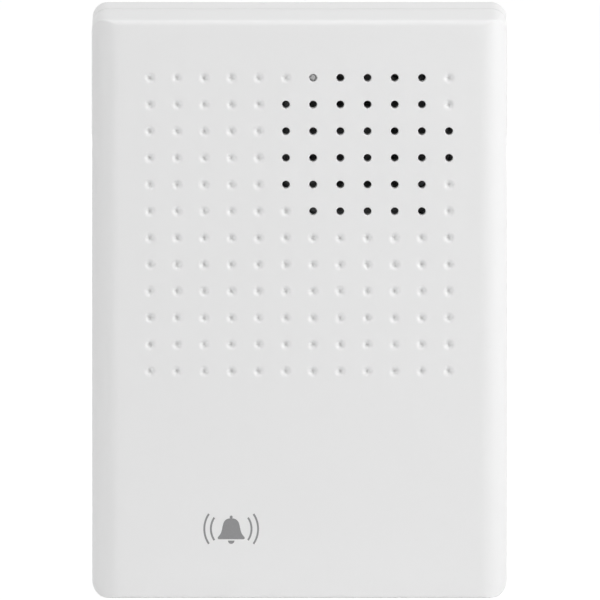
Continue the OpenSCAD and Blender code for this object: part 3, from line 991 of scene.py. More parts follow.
@dataclass(frozen=True)
class SolderCone:
    """Hollow-sided cone of set solder, which narrows towards the wall."""

    foot: float
    tip: float
    height: float
    hollow: float = 1.5
    steps: int = 5
    sides: int = 24

    def add(self, sketch: MeshSketch, place: Place) -> None:
        """Adds the cone.

        Args:
            sketch: Mesh that it goes into.
            place: Middle of its foot.
        """
        centre, out = place[:2], place[2]
        flank = []
        for share in sweep(0.5, 0.5, self.steps):
            radius = self.tip + (self.foot - self.tip) * (1 - share) ** self.hollow
            flank.append((radius, out - self.height * share))
        sketch.lathe([(0, out), *flank, (0, out - self.height)], centre, self.sides)


WHITE_CASE = MouldedPlastic(
    "case_white", (0.85, 0.85, 0.85), roughness=0.46, grain=4.5, depth=0.006, mottle=0.012, edge=0.15
)


@dataclass(frozen=True)
class Sleeve:
    """Round post inside the cover, with a bore that opens towards the wall."""

    bore: float
    outer: float
    mouth: float
    bore_end: float
    lead_in: float
    edge: float = 0.15
    round_steps: int = 2

    def add(self, sketch: MeshSketch, centre: Flat, root: float) -> None:
        """Adds the post.

        Args:
            sketch: Mesh of the cover.
            centre: Where its axis meets the wall.
            root: Distance from the wall at which it ends inside the cover's face.
        """
        lead_in = quarter(self.lead_in, self.round_steps)
        edge = quarter(self.edge, self.round_steps)
        profile = [(0, self.bore_end), (self.bore, self.bore_end)]
        profile += [(self.bore + a, self.mouth + b) for a, b in lead_in]
        profile += [(self.outer - a, self.mouth + b) for a, b in reversed(edge)]
        sketch.lathe([*profile, (self.outer, root), (0, root)], centre)


@dataclass(frozen=True)
class Grille:
    """Grid with holes over the loudspeaker, one of them closed by a plug, and dimples around them.

    Holes, the plug and dimples are given by their radii. The guard is a narrow flat ring around
    each of them, which keeps the shading of its rim from the rest of the face.
    """

    columns: int = 12
    lines: int = 12
    pitch: Flat = (4.25, 4.2)
    first_line: float = 36.45
    open_radius: float = 14.3
    closed_hole: tuple[int, int] = (6, 0)
    hole: float = 0.62
    hole_round: float = 0.11
    blind_depth: float = 1.4
    plug: float = 0.4
    plug_height: float = 0.42
    plug_round: float = 0.08
    round_steps: int = 3
    dimple: float = 1.0
    dimple_spread: float = 0.475
    dimple_depth: float = 0.72
    dimple_rings: int = 14
    guard: float = 0.12
    sides: int = 32

    def place(self, column: int, line: int) -> Flat:
        """Middle of a hole or dimple."""
        return spread(0, self.pitch[0], self.columns)[column], self.first_line - line * self.pitch[1]

    def mark(self, column: int, line: int) -> Mark:
        """What the grid has at a column and a line.

        Args:
            column: Counted from the left.
            line: Counted from the top.

        Returns:
            A hole within the circle over the loudspeaker, or a dimple.
        """
        if (column, line) == self.closed_hole:
            return Mark.BLIND
        reach = math.dist(self.place(column, line), SPEAKER)
        return Mark.OPEN if reach <= self.open_radius else Mark.DIMPLE

    def dip(self, radius: float) -> float:
        """Share of a dimple's depth at a radius, on a bell curve that ends at the dimple's rim."""
        rest = math.exp(-((self.dimple / self.dimple_spread) ** 2))
        return (math.exp(-((radius / self.dimple_spread) ** 2)) - rest) / (1 - rest)

    def profile(self, mark: Mark, face: float, inside: float) -> list[Flat]:
        """Profile from the flat face into a hole or dimple.

        Args:
            mark: Which of them it is.
            face: Distance of the face from the wall.
            inside: Distance of the cover's inside from the wall.

        Returns:
            Pairs of radius and distance from the wall.
        """
        if mark is Mark.DIMPLE:
            radii = [self.dimple * (1 - k / self.dimple_rings) for k in range(self.dimple_rings)]
            dips = [(radius, face - self.dimple_depth * self.dip(radius)) for radius in radii]
            return [(self.dimple + self.guard, face), *dips]
        rim = reversed(quarter(self.hole_round, self.round_steps))
        floor = inside if mark is Mark.OPEN else face - self.blind_depth
        profile = [(self.hole + self.hole_round + self.guard, face)]
        profile += [*((self.hole + a, face - b) for a, b in rim), (self.hole, floor)]
        if mark is Mark.BLIND:
            top, edge = floor + self.plug_height, quarter(self.plug_round, self.round_steps)
            profile += [(self.plug, floor), *((self.plug - a, top - b) for a, b in edge)]
        return profile

    def add(self, sketch: MeshSketch, face: float, inside: float) -> tuple[list[list[int]], list[list[int]]]:
        """Adds the holes and dimples.

        Args:
            sketch: Mesh of the cover.
            face: Distance of the face from the wall.
            inside: Distance of the cover's inside from the wall.

        Returns:
            Rings that stay open in the face, and rings that stay open in the inside.
        """
        rims, mouths = [], []
        for spot in product(range(self.columns), range(self.lines)):
            mark = self.mark(*spot)
            rings = [
                sketch.flat_ring(circle(self.place(*spot), radius, self.sides), out)
                for radius, out in self.profile(mark, face, inside)
            ]
            sketch.chain(rings)
            rims.append(rings[0])
            if mark is Mark.OPEN:
                mouths.append(rings[-1])
            else:
                sketch.faces.append(rings[-1])
        return rims, mouths


@dataclass(frozen=True)
class BellSign:
    """Plain bell with sound lines; apart from its place and height, sizes are shares of its height."""

    at: Flat = (-10.7, -37.0)
    height: float = 4.3
    flank: tuple[Flat, ...] = ((0.0, 0.94), (0.42, 0.94), (0.24, 0.5), (0.44, 0.3))
    lip: tuple[Flat, ...] = ((0.49, 0.24), (0.49, 0.19), (0.46, 0.17))
    knob_at: Flat = (0.0, 0.985)
    knob: float = 0.055
    clapper_at: Flat = (0.0, 0.12)
    clapper: float = 0.12
    heart: Flat = (0.0, 0.55)
    waves: Flat = (0.74, 0.98)
    wave_half: float = 0.035
    wave_reach: float = 34.0
    steps: int = 12
    wave_steps: int = 16

    def shapes(self) -> list[list[Flat]]:
        """Outlines of the bell, its knob, its clapper and the sound lines.

        Returns:
            The outlines, in shares of the height from the middle of its foot.
        """
        top, *flank = bezier(self.flank, self.steps)
        half = [*flank, *self.lip]
        shapes = [
            [top, *half, *((-x, up) for x, up in reversed(half))],
            circle(self.knob_at, self.knob, 2 * self.steps),
            [polar(self.clapper_at, self.clapper, degrees) for degrees in sweep(270, 90, self.steps)],
        ]
        for side, radius in product((0, 180), self.waves):
            turns = sweep(side, self.wave_reach, self.wave_steps)
            near = [polar(self.heart, radius - self.wave_half, degrees) for degrees in turns]
            far = [polar(self.heart, radius + self.wave_half, degrees) for degrees in turns]
            shapes.append(near + far[::-1])
        return shapes

    def add(self, sketch: MeshSketch, low: float, high: float) -> None:
        """Adds the sign as thin solids.

        Args:
            sketch: Mesh of the print.
            low: Distance of its underside from the wall.
            high: Distance of its top from the wall.
        """
        for shape in self.shapes():
            loop = [(self.at[0] + self.height * x, self.at[1] + self.height * up) for x, up in shape]
            sketch.prism(loop, low, high)


@dataclass
class FrontCover:
    """Moulded front of the case with its grille, sockets, bosses, fence and print.

    The skirt below the ledge is thinner than the wall, because the back cover's lip lies inside it.
    The shares place the points along the straight stretches of the outline, and soft_join is the
    power with which the side rounds and the fillets run into one another.
    """

    low: Place
    high: Place
    wall: float = 2.0
    wall_end: float = 15.0
    skirt: float = 1.0
    skirt_edge: float = 0.1
    ledge: float = 12.85
    lip_round: float = 0.16
    lip_steps: int = 2
    corner: float = 2.4
    least_corner: float = 0.4
    corner_steps: int = 8
    long_shares: tuple[float, ...] = (0.5, 0.0, -0.5)
    short_shares: tuple[float, ...] = (0.985, 0.97, 0.955, 0.94, 0.9, 0.5)
    side_round: float = 4.2
    side_steps: int = 14
    top_fillet: float = 1.0
    top_steps: int = 7
    low_fillet: float = 0.35
    low_steps: int = 5
    inner_fillet: float = 0.4
    inner_steps: int = 8
    soft_join: float = 5.0
    grille: Grille = Grille()
    sunk: float = 0.3
    socket: Sleeve = Sleeve(bore=1.55, outer=3.0, mouth=12.0, bore_end=20.0, lead_in=0.25)
    socket_at: Flat = (26.9, 40.0)
    boss: Sleeve = Sleeve(bore=1.05, outer=2.4, mouth=BOARD_FRONT, bore_end=23.7, lead_in=0.15)
    boss_at: Flat = (20.5, 14.0)
    fence_wall: float = 1.2
    fence_end: float = 20.0
    fence_edge: float = 0.15
    fence_reach: float = 25.0
    fence_steps: int = 20
    sign: BellSign = BellSign()
    ink: Finish = Ink("print_grey", (0.27, 0.27, 0.275))
    ink_height: float = 0.008
    ink_sunk: float = 0.02
    ink_sharp: float = 60.0

    def __post_init__(self) -> None:
        """Works out what follows from the solid's box."""
        self.half = self.high[:2]
        self.seam = self.low[2]
        self.inside = self.high[2] - self.wall
        self.face = self.high[2] - self.ink_height

    def outline(self, inset: float) -> list[Flat]:
        """Points around the case.

        Args:
            inset: How far the outline is drawn in.

        Returns:
            The points, which lie closer near the ends of the top and the bottom.
        """
        radius = max(self.corner - inset, self.least_corner)
        run, rise = (half - inset - radius for half in self.half)
        short = [*self.short_shares, 0.0, *(-share for share in reversed(self.short_shares))]
        loop: list[Flat] = []
        for turn, (sx, sy) in enumerate(((1, 1), (-1, 1), (-1, -1), (1, -1))):
            bend = sweep(90 * turn + 45, 45, self.corner_steps)
            loop += [polar((sx * run, sy * rise), radius, degrees) for degrees in bend]
            if turn % 2 == 0:
                loop += [(sx * share * run, sy * (rise + radius)) for share in short]
            else:
                loop += [(sx * (run + radius), sy * share * rise) for share in self.long_shares]
        return loop

    def fall(self, x: float, up: float, skin: float, fillet: float) -> float:
        """How far the rounded edges of the outside or the inside lie behind its flat.

        Args:
            x: Place to the right.
            up: Place up the wall.
            skin: Depth of the surface below the outside.
            fillet: Radius of its top edge, and the most for its crisper bottom edge.

        Returns:
            The distance, where the two kinds of edge run softly into one another.
        """
        half_x, half_up = (half - skin for half in self.half)
        radius = max(self.corner - skin, self.least_corner)
        past_x, past_up = abs(x) - half_x + radius, abs(up) - half_up + radius
        if past_x > 0 and past_up > 0:
            to_edge = radius - math.hypot(past_x, past_up)
        else:
            to_edge = min(half_x - abs(x), half_up - abs(up))

        def drop(distance: float, r: float) -> float:
            """Fall of one rounded edge at a distance from it."""
            return r - math.sqrt(max(r * r - max(r - distance, 0.0) ** 2, 0.0))

        edge = fillet if up > 0 else min(fillet, self.low_fillet)
        falls = drop(half_x - abs(x), self.side_round - skin), drop(max(to_edge, 0.0), edge)
        return sum(fall**self.soft_join for fall in falls) ** (1 / self.soft_join)

    def crown(self, sketch: MeshSketch, inset: float, skin: float) -> list[int]:
        """Adds one ring of the rounded outside, or of the inside below it.

        Args:
            sketch: Mesh of the cover.
            inset: Inset of the ring.
            skin: 0 for the outside, the wall for the inside.

        Returns:
            Numbers of the ring's points.
        """
        top, fillet = (self.inside, self.inner_fillet) if skin else (self.face, self.top_fillet)
        loop = self.outline(inset)
        return sketch.ring((x, up, top - self.fall(x, up, skin, fillet)) for x, up in loop)

    def outer_rings(self, sketch: MeshSketch) -> list[list[int]]:
        """Adds the rings of the outside.

        Args:
            sketch: Mesh of the cover.

        Returns:
            The rings, from the lip at the seam to the flat of the face.
        """
        lip = reversed(quarter(self.lip_round, self.lip_steps))
        levels = [*((a, self.seam + b) for a, b in lip), (0, self.wall_end)]
        rounds = (
            (self.side_round, self.side_steps),
            (self.top_fillet, self.top_steps),
            (self.low_fillet, self.low_steps),
        )
        insets = {inset for radius, steps in rounds for inset, _ in quarter(radius, steps)}
        insets.add(self.side_round + self.grille.guard)
        walls = [sketch.flat_ring(self.outline(inset), out) for inset, out in levels]
        return walls + [self.crown(sketch, inset, 0.0) for inset in sorted(insets)]

    def inner_rings(self, sketch: MeshSketch) -> list[list[int]]:
        """Adds the rings of the inside.

        Args:
            sketch: Mesh of the cover.

        Returns:
            The rings, from the skirt at the seam to the flat behind the face.
        """
        levels = (
            (self.skirt - self.skirt_edge, self.seam),
            (self.skirt, self.seam + self.skirt_edge),
            (self.skirt, self.ledge),
            (self.wall, self.ledge),
            (self.wall, self.wall_end),
        )
        insets = [self.wall + inset for inset, _ in quarter(self.side_round - self.wall, self.inner_steps)]
        walls = [sketch.flat_ring(self.outline(inset), out) for inset, out in levels]
        return walls + [self.crown(sketch, inset, self.wall) for inset in insets]

    def shell(self, sketch: MeshSketch) -> None:
        """Adds the walls, the face and the grille as one closed skin.

        Args:
            sketch: Mesh of the cover.
        """
        outer = self.outer_rings(sketch)
        inner = self.inner_rings(sketch)
        sketch.chain([*reversed(outer), *inner])
        rims, mouths = self.grille.add(sketch, self.face, self.inside)
        sketch.fill(outer[-1], rims)
        sketch.fill(inner[-1], mouths)

    def fittings(self, sketch: MeshSketch) -> None:
        """Adds the sockets of the pegs, the bosses of the board and the fence of the loudspeaker.

        Args:
            sketch: Mesh of the cover.
        """
        root = self.inside + self.sunk
        for sx, sy in product((-1, 1), repeat=2):
            self.socket.add(sketch, (sx * self.socket_at[0], sy * self.socket_at[1]), root)
            self.boss.add(sketch, on_board(sx * self.boss_at[0], sy * self.boss_at[1]), root)
        near, far = FENCE_RADIUS, FENCE_RADIUS + self.fence_wall
        edge = quarter(self.fence_edge, 1)
        section = [(near, root), *((near + a, self.fence_end + b) for a, b in edge)]
        section += [*((far - a, self.fence_end + b) for a, b in reversed(edge)), (far, root)]
        for angle in DIAGONALS:
            rings = []
            for degrees in sweep(angle, self.fence_reach, self.fence_steps):
                rings.append(sketch.ring((*polar(SPEAKER, radius, degrees), out) for radius, out in section))
            sketch.loft(rings)

    def build(self) -> None:
        """Makes the cover, which stands for its solid, and the print on it."""
        shell = MeshSketch()
        self.shell(shell)
        self.fittings(shell)
        cover = shell.piece("cover_shell", WHITE_CASE, "case_plastic")
        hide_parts("front_cover")
        sketch = MeshSketch()
        self.sign.add(sketch, self.face - self.ink_sunk, self.face + self.ink_height)
        sketch.piece("bell_print", self.ink, "case_plastic", self.ink_sharp)


@dataclass
class BackCover:
    """Rear shell of the case."""

    finish: Finish = WHITE_CASE

    def build(self) -> None:
        """Dresses the shell."""
        dress_nodes({"back_cover": self.finish})


@dataclass
class Loudspeaker:
    """Small loudspeaker, its gasket and the glue that holds it.

    A bead's end is the share of its size that is left there, and its lumps are the steps of the
    noise that makes it uneven, by degree and by bead, and the noise's third coordinate.
    """

    gasket_low: float
    gasket_high: float
    glue_high: float
    gasket_inner: float = 14.2
    gasket_bulge: float = 0.12
    gasket_press: float = 0.985
    gasket_steps: int = 8
    gasket_sides: int = 96
    gasket_sharp: float = 50.0
    bead_size: float = 1.42
    bead_reach: float = 11.5
    bead_steps: int = 18
    bead_end: float = 0.25
    bead_blunt: int = 6
    bead_uneven: float = 0.06
    bead_lumps: tuple[float, float, float] = (0.11, 0.37, 0.5)
    bead_hollow: float = 0.26
    bead_section_steps: int = 8
    bead_sharp: float = 60.0
    steel: Finish = PlatedMetal(
        "basket_zinc", (0.58, 0.59, 0.61), tint=(0.52, 0.55, 0.6), roughness=0.36
    )
    plate: Finish = PlatedMetal(
        "magnet_plate_zinc", (0.56, 0.57, 0.59), tint=(0.58, 0.58, 0.56), roughness=0.33
    )
    magnet: Finish = Ferrite("magnet_ferrite")
    # Cone and cap are painted much lighter than dark loudspeaker paper, as painted light seen through the
    # grille's holes; the cap is lighter still as a painted shine.
    cone: Finish = Paper(
        "cone_paper_painted_light", (0.4, 0.4, 0.405), fleck=(0.55, 0.55, 0.55), roughness=0.6, patches_and_glints=0.5
    )
    cap: Finish = Paper(
        "cap_paper_painted_light", (0.44, 0.44, 0.445), fleck=(0.6, 0.6, 0.6), roughness=0.5, depth=0.015, patches_and_glints=0.5
    )
    # The surround's grey is painted lighter, as a painted highlight on its roll.
    edge: Finish = DampedFilm("surround_damped", (0.2, 0.2, 0.2))
    tag: Finish = Paper(
        "tag_hard_paper", (0.33, 0.17, 0.07), fleck=(0.2, 0.1, 0.04), roughness=0.55, depth=0.01
    )
    lug: Finish = PlatedMetal("lug_tinned", (0.7, 0.69, 0.66), tint=(0.72, 0.62, 0.4), roughness=0.28)
    former: Finish = Paper(
        "former_kraft", (0.42, 0.27, 0.14), fleck=(0.28, 0.17, 0.08), roughness=0.8, depth=0.01
    )
    winding: Finish = CopperWinding("winding_copper")
    foam: Finish = Foam("gasket_foam_dark", (0.06, 0.06, 0.064))
    glue: Finish = HotMelt("glue_hot_melt")

    def build(self) -> None:
        """Dresses the solids and adds the soft gasket and the glue."""
        dress_nodes(
            {
                "speaker_basket": self.steel,
                "speaker_top_plate": self.plate,
                "speaker_yoke": self.plate,
                "speaker_magnet": self.magnet,
                "speaker_cone": self.cone,
                "dust_cap": self.cap,
                "speaker_surround": self.edge,
                "speaker_tag_board": self.tag,
                "speaker_lugs": self.lug,
                "coil_former": self.former,
                "voice_coil": self.winding,
            }
        )
        self.gasket()
        self.glue_beads()

    def gasket(self) -> None:
        """Makes the foam ring, whose sides bulge because the basket presses it against the cover."""
        centre = (self.gasket_low + self.gasket_high) / 2
        half = (self.gasket_high - self.gasket_low) / 2 * self.gasket_press
        profile = []
        for radius, way in ((self.gasket_inner, 1), (SPEAKER_RADIUS, -1)):
            for share in sweep(0, way, self.gasket_steps):
                profile.append((radius + way * self.gasket_bulge * share**2, centre + half * share))
        sketch = MeshSketch()
        sketch.lathe(profile, SPEAKER, self.gasket_sides, closed=True)
        ring = sketch.piece("gasket_ring", self.foam, "gasket_foam", self.gasket_sharp)
        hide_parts("speaker_gasket")

    def bead_section(self, size: float) -> list[Flat]:
        """Section of a bead in the corner of the basket's rim and the fence.

        Args:
            size: How far it reaches from the corner.

        Returns:
            Pairs of radius and distance from the wall.
        """
        corner = FENCE_RADIUS, self.glue_high
        section = [corner]
        for degrees in sweep(45, 45, self.bead_section_steps):
            swell = 1 - self.bead_hollow * (1 - abs(math.cos(math.radians(2 * degrees))))
            section.append(polar(corner, -size * swell, degrees))
        return section

    def glue_beads(self) -> None:
        """Makes four uneven beads of glue, which end blunt."""
        per_degree, per_bead, depth = self.bead_lumps
        sketch = MeshSketch()
        for angle in DIAGONALS:
            rings = []
            for share in sweep(0, 1, self.bead_steps):
                degrees = angle + self.bead_reach * share
                lump = noise.noise(Vector((degrees * per_degree, angle * per_bead, depth)))
                fullness = 1 - (1 - self.bead_end) * share**self.bead_blunt
                size = self.bead_size * fullness * (1 + self.bead_uneven * (lump - 1))
                section = self.bead_section(size)
                rings.append(sketch.ring((*polar(SPEAKER, radius, degrees), out) for radius, out in section))
            sketch.loft(rings)
        beads = sketch.piece("glue_beads", self.glue, "hot_melt", self.bead_sharp)
        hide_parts("speaker_glue")


@dataclass
class SpeakerLeads:
    """The two wires from the board to the loudspeaker, with their soldered ends."""

    stub: float = 0.6
    reach: float = 5.6
    bow: float = 3.0
    steps: int = 36
    sides: int = 16
    core: float = 0.3
    core_sides: int = 10
    lug_cone: SolderCone = SolderCone(foot=0.78, tip=0.36, height=0.7)
    pad_cone: SolderCone = SolderCone(foot=1.05, tip=0.36, height=0.7)
    red: Finish = WireSkin("skin_red", (0.5, 0.018, 0.014))
    black: Finish = WireSkin("skin_black", (0.018, 0.018, 0.019))
    solder: Finish = Solder("solder_joint")

    def route(self, lug: Place, pad: Place) -> list[Place]:
        """Places along a wire, which leaves lug and pad straight towards the wall.

        Args:
            lug: Start on the loudspeaker.
            pad: End on the board.

        Returns:
            The places.
        """
        corners = (
            (*lug[:2], lug[2] - self.stub),
            (lug[0] + self.bow, lug[1], lug[2] - self.reach),
            (*pad[:2], pad[2] - self.reach),
            (*pad[:2], pad[2] - self.stub),
        )
        return bezier(corners, self.steps)

    def build(self) -> None:
        """Makes both wires and their joints."""
        joints = MeshSketch()
        for name, finish in (("red", self.red), ("black", self.black)):
            lug, pad = wire_ends(name)
            path = self.route(lug, pad)
            skin = MeshSketch()
            skin.tube(path[1:-1], WIRE_RADIUS, self.sides)
            wire = skin.piece(f"lead_{name}", finish, f"wire_{name}")
            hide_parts(f"speaker_wire_{name}")
            for end, inner, cone in ((lug, path[2], self.lug_cone), (pad, path[-3], self.pad_cone)):
                joints.tube([end, (*end[:2], end[2] - self.stub), inner], self.core, self.core_sides)
                cone.add(joints, end)
        joints.piece("lead_joints", self.solder, "tinned_brass")


@dataclass(frozen=True)
class BoardLeads:
    """Places where leads go into the board, each kind from the left to the right or from below."""

    poles: list[Flat]
    resistor_tops: list[Flat]
    resistor_feet: list[Flat]
    disc_tops: list[Flat]
    disc_feet: list[Flat]
    diode: list[Flat]
    lying_can: list[Flat]
    standing_can: list[Flat]
    transistor: list[Flat]
    wires: list[Flat]

    def soldered(self) -> list[Flat]:
        """Places that show a cone of solder of their own on the rear face."""
        rows = self.resistor_tops + self.resistor_feet + self.disc_tops + self.disc_feet
        return rows + self.diode + self.lying_can + self.transistor


@dataclass
class SoundBoard:
    """Circuit board with its screws, components, tracks, component outlines and pads.

    Places on the board are counted from its middle.
    """

    sunk: float = 0.05
    track_width: float = 0.8
    track_height: float = 0.035
    line_width: float = 0.16
    line_height: float = 0.047
    print_sharp: float = 50.0
    pad: SolderCone = SolderCone(foot=0.62, tip=0.36, height=0.35)
    pole_step: float = 5.0
    pin_half: float = 0.4
    block_at: Flat = (-6.0, 12.0)
    block_box: Flat = (20.9, 8.7)
    resistor_count: int = 4
    resistor_step: float = 2.6
    resistor_half: float = 2.83
    resistor_lead: float = 4.25
    resistor_box: Flat = (2.26, 6.4)
    disc_count: int = 2
    disc_step: float = 3.0
    disc_lead: float = 1.25
    disc_box: Flat = (2.2, 4.8)
    diode_half: float = 2.33
    diode_lead: float = 4.5
    diode_box: Flat = (5.4, 3.1)
    cathode: float = 2.1
    cathode_half: float = 1.8
    lead_radius: float = 0.3
    lying_radius: float = 4.0
    lying_foot: float = 8.0
    lying_lead: float = 1.75
    lying_box: Flat = (12.2, 8.7)
    standing_radius: float = 3.15
    standing_lead: float = 1.2
    standing_hoop: float = 3.5
    plus_at: Flat = (10.9, 7.2)
    plus_half: float = 0.7
    chip_hoop: float = 5.35
    transistor_radius: float = 2.3
    transistor_step: float = 1.27
    transistor_hoop: float = 2.7
    wire_hoop: float = 1.15
    hoop_sides: int = 56
    mitre_limit: float = 0.5
    mask: Finish = Laminate(
        "laminate_green", (0.02, 0.11, 0.035), bare=(0.46, 0.4, 0.2), faces=(BOARD_REAR, BOARD_FRONT)
    )
    screw: Finish = PlatedMetal(
        "board_screw_zinc", (0.6, 0.6, 0.6), tint=(0.66, 0.6, 0.44), roughness=0.3
    )
    drop: Finish = MouldedPlastic(
        "epoxy_black", (0.014, 0.014, 0.015), roughness=0.2, grain=1.2, depth=0.05, mottle=0.3, edge=0.0
    )
    transistor: Finish = MouldedPlastic(
        "transistor_black",
        (0.02, 0.02, 0.021),
        roughness=0.5,
        grain=6.0,
        depth=0.012,
        mottle=0.2,
        edge=0.08,
        legs_out=16.28,
    )
    disc: Finish = MouldedPlastic(
        "disc_tan",
        (0.55, 0.22, 0.05),
        roughness=0.28,
        grain=1.5,
        depth=0.03,
        mottle=0.3,
        edge=0.35,
        legs_out=16.6,
    )
    track: Finish = Ink("track_green", (0.045, 0.19, 0.06), roughness=0.32)
    legend: Finish = Ink("legend_white", (0.75, 0.75, 0.72), roughness=0.6)
    solder: Finish = Solder("solder_joint")

    def seat(self, node: str) -> Flat:
        """Middle of a solid on the board, to a hundredth of a millimetre."""
        x, up = middle(node)
        return round(x - BOARD[0], 2), round(up - BOARD[1], 2)

    def transistor_at(self) -> Flat:
        """Middle of the transistor's round, which is flat on one side."""
        low, _ = span("driver_transistor")
        return self.seat("driver_transistor")[0], low[1] + self.transistor_radius - BOARD[1]

    def leads(self) -> BoardLeads:
        """Works out the places of the leads from the components' solids.

        Returns:
            The places.
        """
        resistors, discs, diode = map(self.seat, ("resistors", "ceramic_capacitors", "zener_diode"))
        lying, standing = map(self.seat, ("filter_capacitor", "coupling_capacitor"))
        resistor_x = spread(resistors[0], self.resistor_step, self.resistor_count)
        disc_x = spread(discs[0], self.disc_step, self.disc_count)
        pin_up = span("contact_bars")[0][1] + self.pin_half - BOARD[1]
        lying_x = span("filter_capacitor")[0][0] + self.lead_radius - BOARD[0]
        base_x, base_up = self.transistor_at()
        pads = (wire_ends(name)[1] for name in ("red", "black"))
        return BoardLeads(
            poles=[(x, pin_up) for x in spread(self.block_at[0], self.pole_step, POLES)],
            resistor_tops=[(x, resistors[1] + self.resistor_lead) for x in resistor_x],
            resistor_feet=[(x, resistors[1] - self.resistor_lead) for x in resistor_x],
            disc_tops=[(x, discs[1] + self.disc_lead) for x in disc_x],
            disc_feet=[(x, discs[1] - self.disc_lead) for x in disc_x],
            diode=[(diode[0] + way * self.diode_lead, diode[1]) for way in (-1, 1)],
            lying_can=[(lying_x, lying[1] + way * self.lying_lead) for way in (-1, 1)],
            standing_can=[(standing[0] + way * self.standing_lead, standing[1]) for way in (-1, 1)],
            transistor=[(base_x + k * self.transistor_step, base_up) for k in (-1, 0, 1)],
            wires=[(pad[0] - BOARD[0], pad[1] - BOARD[1]) for pad in pads],
        )

    def lying_sleeve(self) -> Finish:
        """Finish of the can that lies across the board.

        Returns:
            Its sleeve.
        """
        centre = middle("filter_capacitor")[1], BOARD_REAR - self.lying_radius
        end = span("filter_capacitor")[1][0]
        return CanSleeve("can_lying", Axis.ACROSS, centre, self.lying_radius, self.lying_foot, end)

    def standing_sleeve(self) -> Finish:
        """Finish of the can that stands on the board."""
        centre, end = middle("coupling_capacitor"), span("coupling_capacitor")[0][2]
        return CanSleeve("can_standing", Axis.OUT, centre, self.standing_radius, BOARD_REAR, end)

    def ringed_resistors(self) -> Finish:
        """Finish of the resistors, whose rings give four plain values.

        Returns:
            The finish.
        """
        black, brown, red = (0.012, 0.012, 0.012), (0.12, 0.045, 0.018), (0.42, 0.02, 0.015)
        orange, yellow, violet = (0.75, 0.2, 0.02), (0.75, 0.5, 0.03), (0.18, 0.04, 0.3)
        gold = (0.5, 0.32, 0.08)
        return BandedBody(
            "resistor_tan",
            (0.52, 0.35, 0.19),
            Axis.UP,
            centre=middle("resistors")[1],
            half=self.resistor_half,
            bands=(
                (1.95, (brown, yellow, red, brown)),
                (1.05, (black, violet, red, black)),
                (0.15, (orange, red, brown, yellow)),
                (-1.8, (gold,)),
            ),
            band_half=0.26,
            row_start=spread(middle("resistors")[0], self.resistor_step, self.resistor_count)[0],
            row_step=self.resistor_step,
        )

    def ringed_diode(self) -> Finish:
        """Finish of the diode with the ring at its cathode.

        Returns:
            The finish.
        """
        return BandedBody(
            "diode_black",
            (0.016, 0.016, 0.017),
            Axis.ACROSS,
            centre=middle("zener_diode")[0],
            half=self.diode_half,
            bands=((1.45, ((0.6, 0.6, 0.58),)),),
            band_half=0.4,
        )

    def strip(self, points: Sequence[Flat], width: float) -> list[Flat]:
        """Outline of a line on the board.

        Args:
            points: Places that it passes through.
            width: Its width.

        Returns:
            The outline, with mitred bends and square ends.
        """
        flat = [Vector(on_board(*point)) for point in points]
        left, right = [], []
        for i, point in enumerate(flat):
            before = (point - flat[i - 1]).normalized() if i else None
            after = (flat[i + 1] - point).normalized() if i + 1 < len(flat) else None
            heading = ((before or after) + (after or before)).normalized()
            stretch = 1.0 if before is None or after is None else max(heading.dot(after), self.mitre_limit)
            square = Vector((-heading.y, heading.x)) * (width / 2 / stretch)
            end = point + heading * (width / 2) * ((after is None) - (before is None))
            left.append(tuple(end + square))
            right.append(tuple(end - square))
        return left + right[::-1]

    def tracks(self) -> None:
        """Makes the copper tracks, which stand out a little under the lacquer."""
        lead = self.leads()
        around_can = ((17.0, -12.6), (21.2, -8.4), (21.2, 0.2), (20.0, 1.4), (14.8, 1.4), (13.8, 2.4))
        routes = (
            (lead.poles[0], (-13.5, 7.4), (-16.8, 4.1), (-16.8, -5.45), lead.resistor_tops[0]),
            (lead.poles[1], (-8.5, 4.6)),
            (lead.poles[2], (-3.5, 5.4), (-5.6, 3.3)),
            (lead.poles[3], (1.5, 7.2), (4.4, 4.3), lead.transistor[0]),
            (lead.resistor_feet[0], (-4.2, -15.75), lead.disc_feet[0]),
            (lead.resistor_tops[1], (-12.4, -5.2), (-11.2, -3.4)),
            (lead.resistor_tops[2], (-9.8, -3.6)),
            (lead.resistor_tops[3], (-5.8, -5.4), (-5.8, -3.0)),
            (lead.lying_can[1], (3.5, -5.75), lead.disc_tops[0]),
            (lead.disc_tops[1], (3.0, -9.25), lead.lying_can[0]),
            (lead.diode[0], (3.4, -14.6), lead.disc_feet[1]),
            (lead.diode[1], *around_can, lead.standing_can[0]),
            (lead.wires[0], (19.2, 11.2), (19.2, 5.4), (17.8, 4.0), lead.standing_can[1]),
            (lead.wires[1], (11.0, 10.4), (8.77, 6.4), lead.transistor[2]),
            (lead.transistor[1], (7.5, 0.4), (6.6, -0.5), (-4.6, -0.5)),
        )
        sketch = MeshSketch()
        for points in routes:
            loop = self.strip(points, self.track_width)
            sketch.prism(loop, BOARD_REAR + self.sunk, BOARD_REAR - self.track_height)
        sketch.piece("board_tracks", self.track, "board_laminate", self.print_sharp)

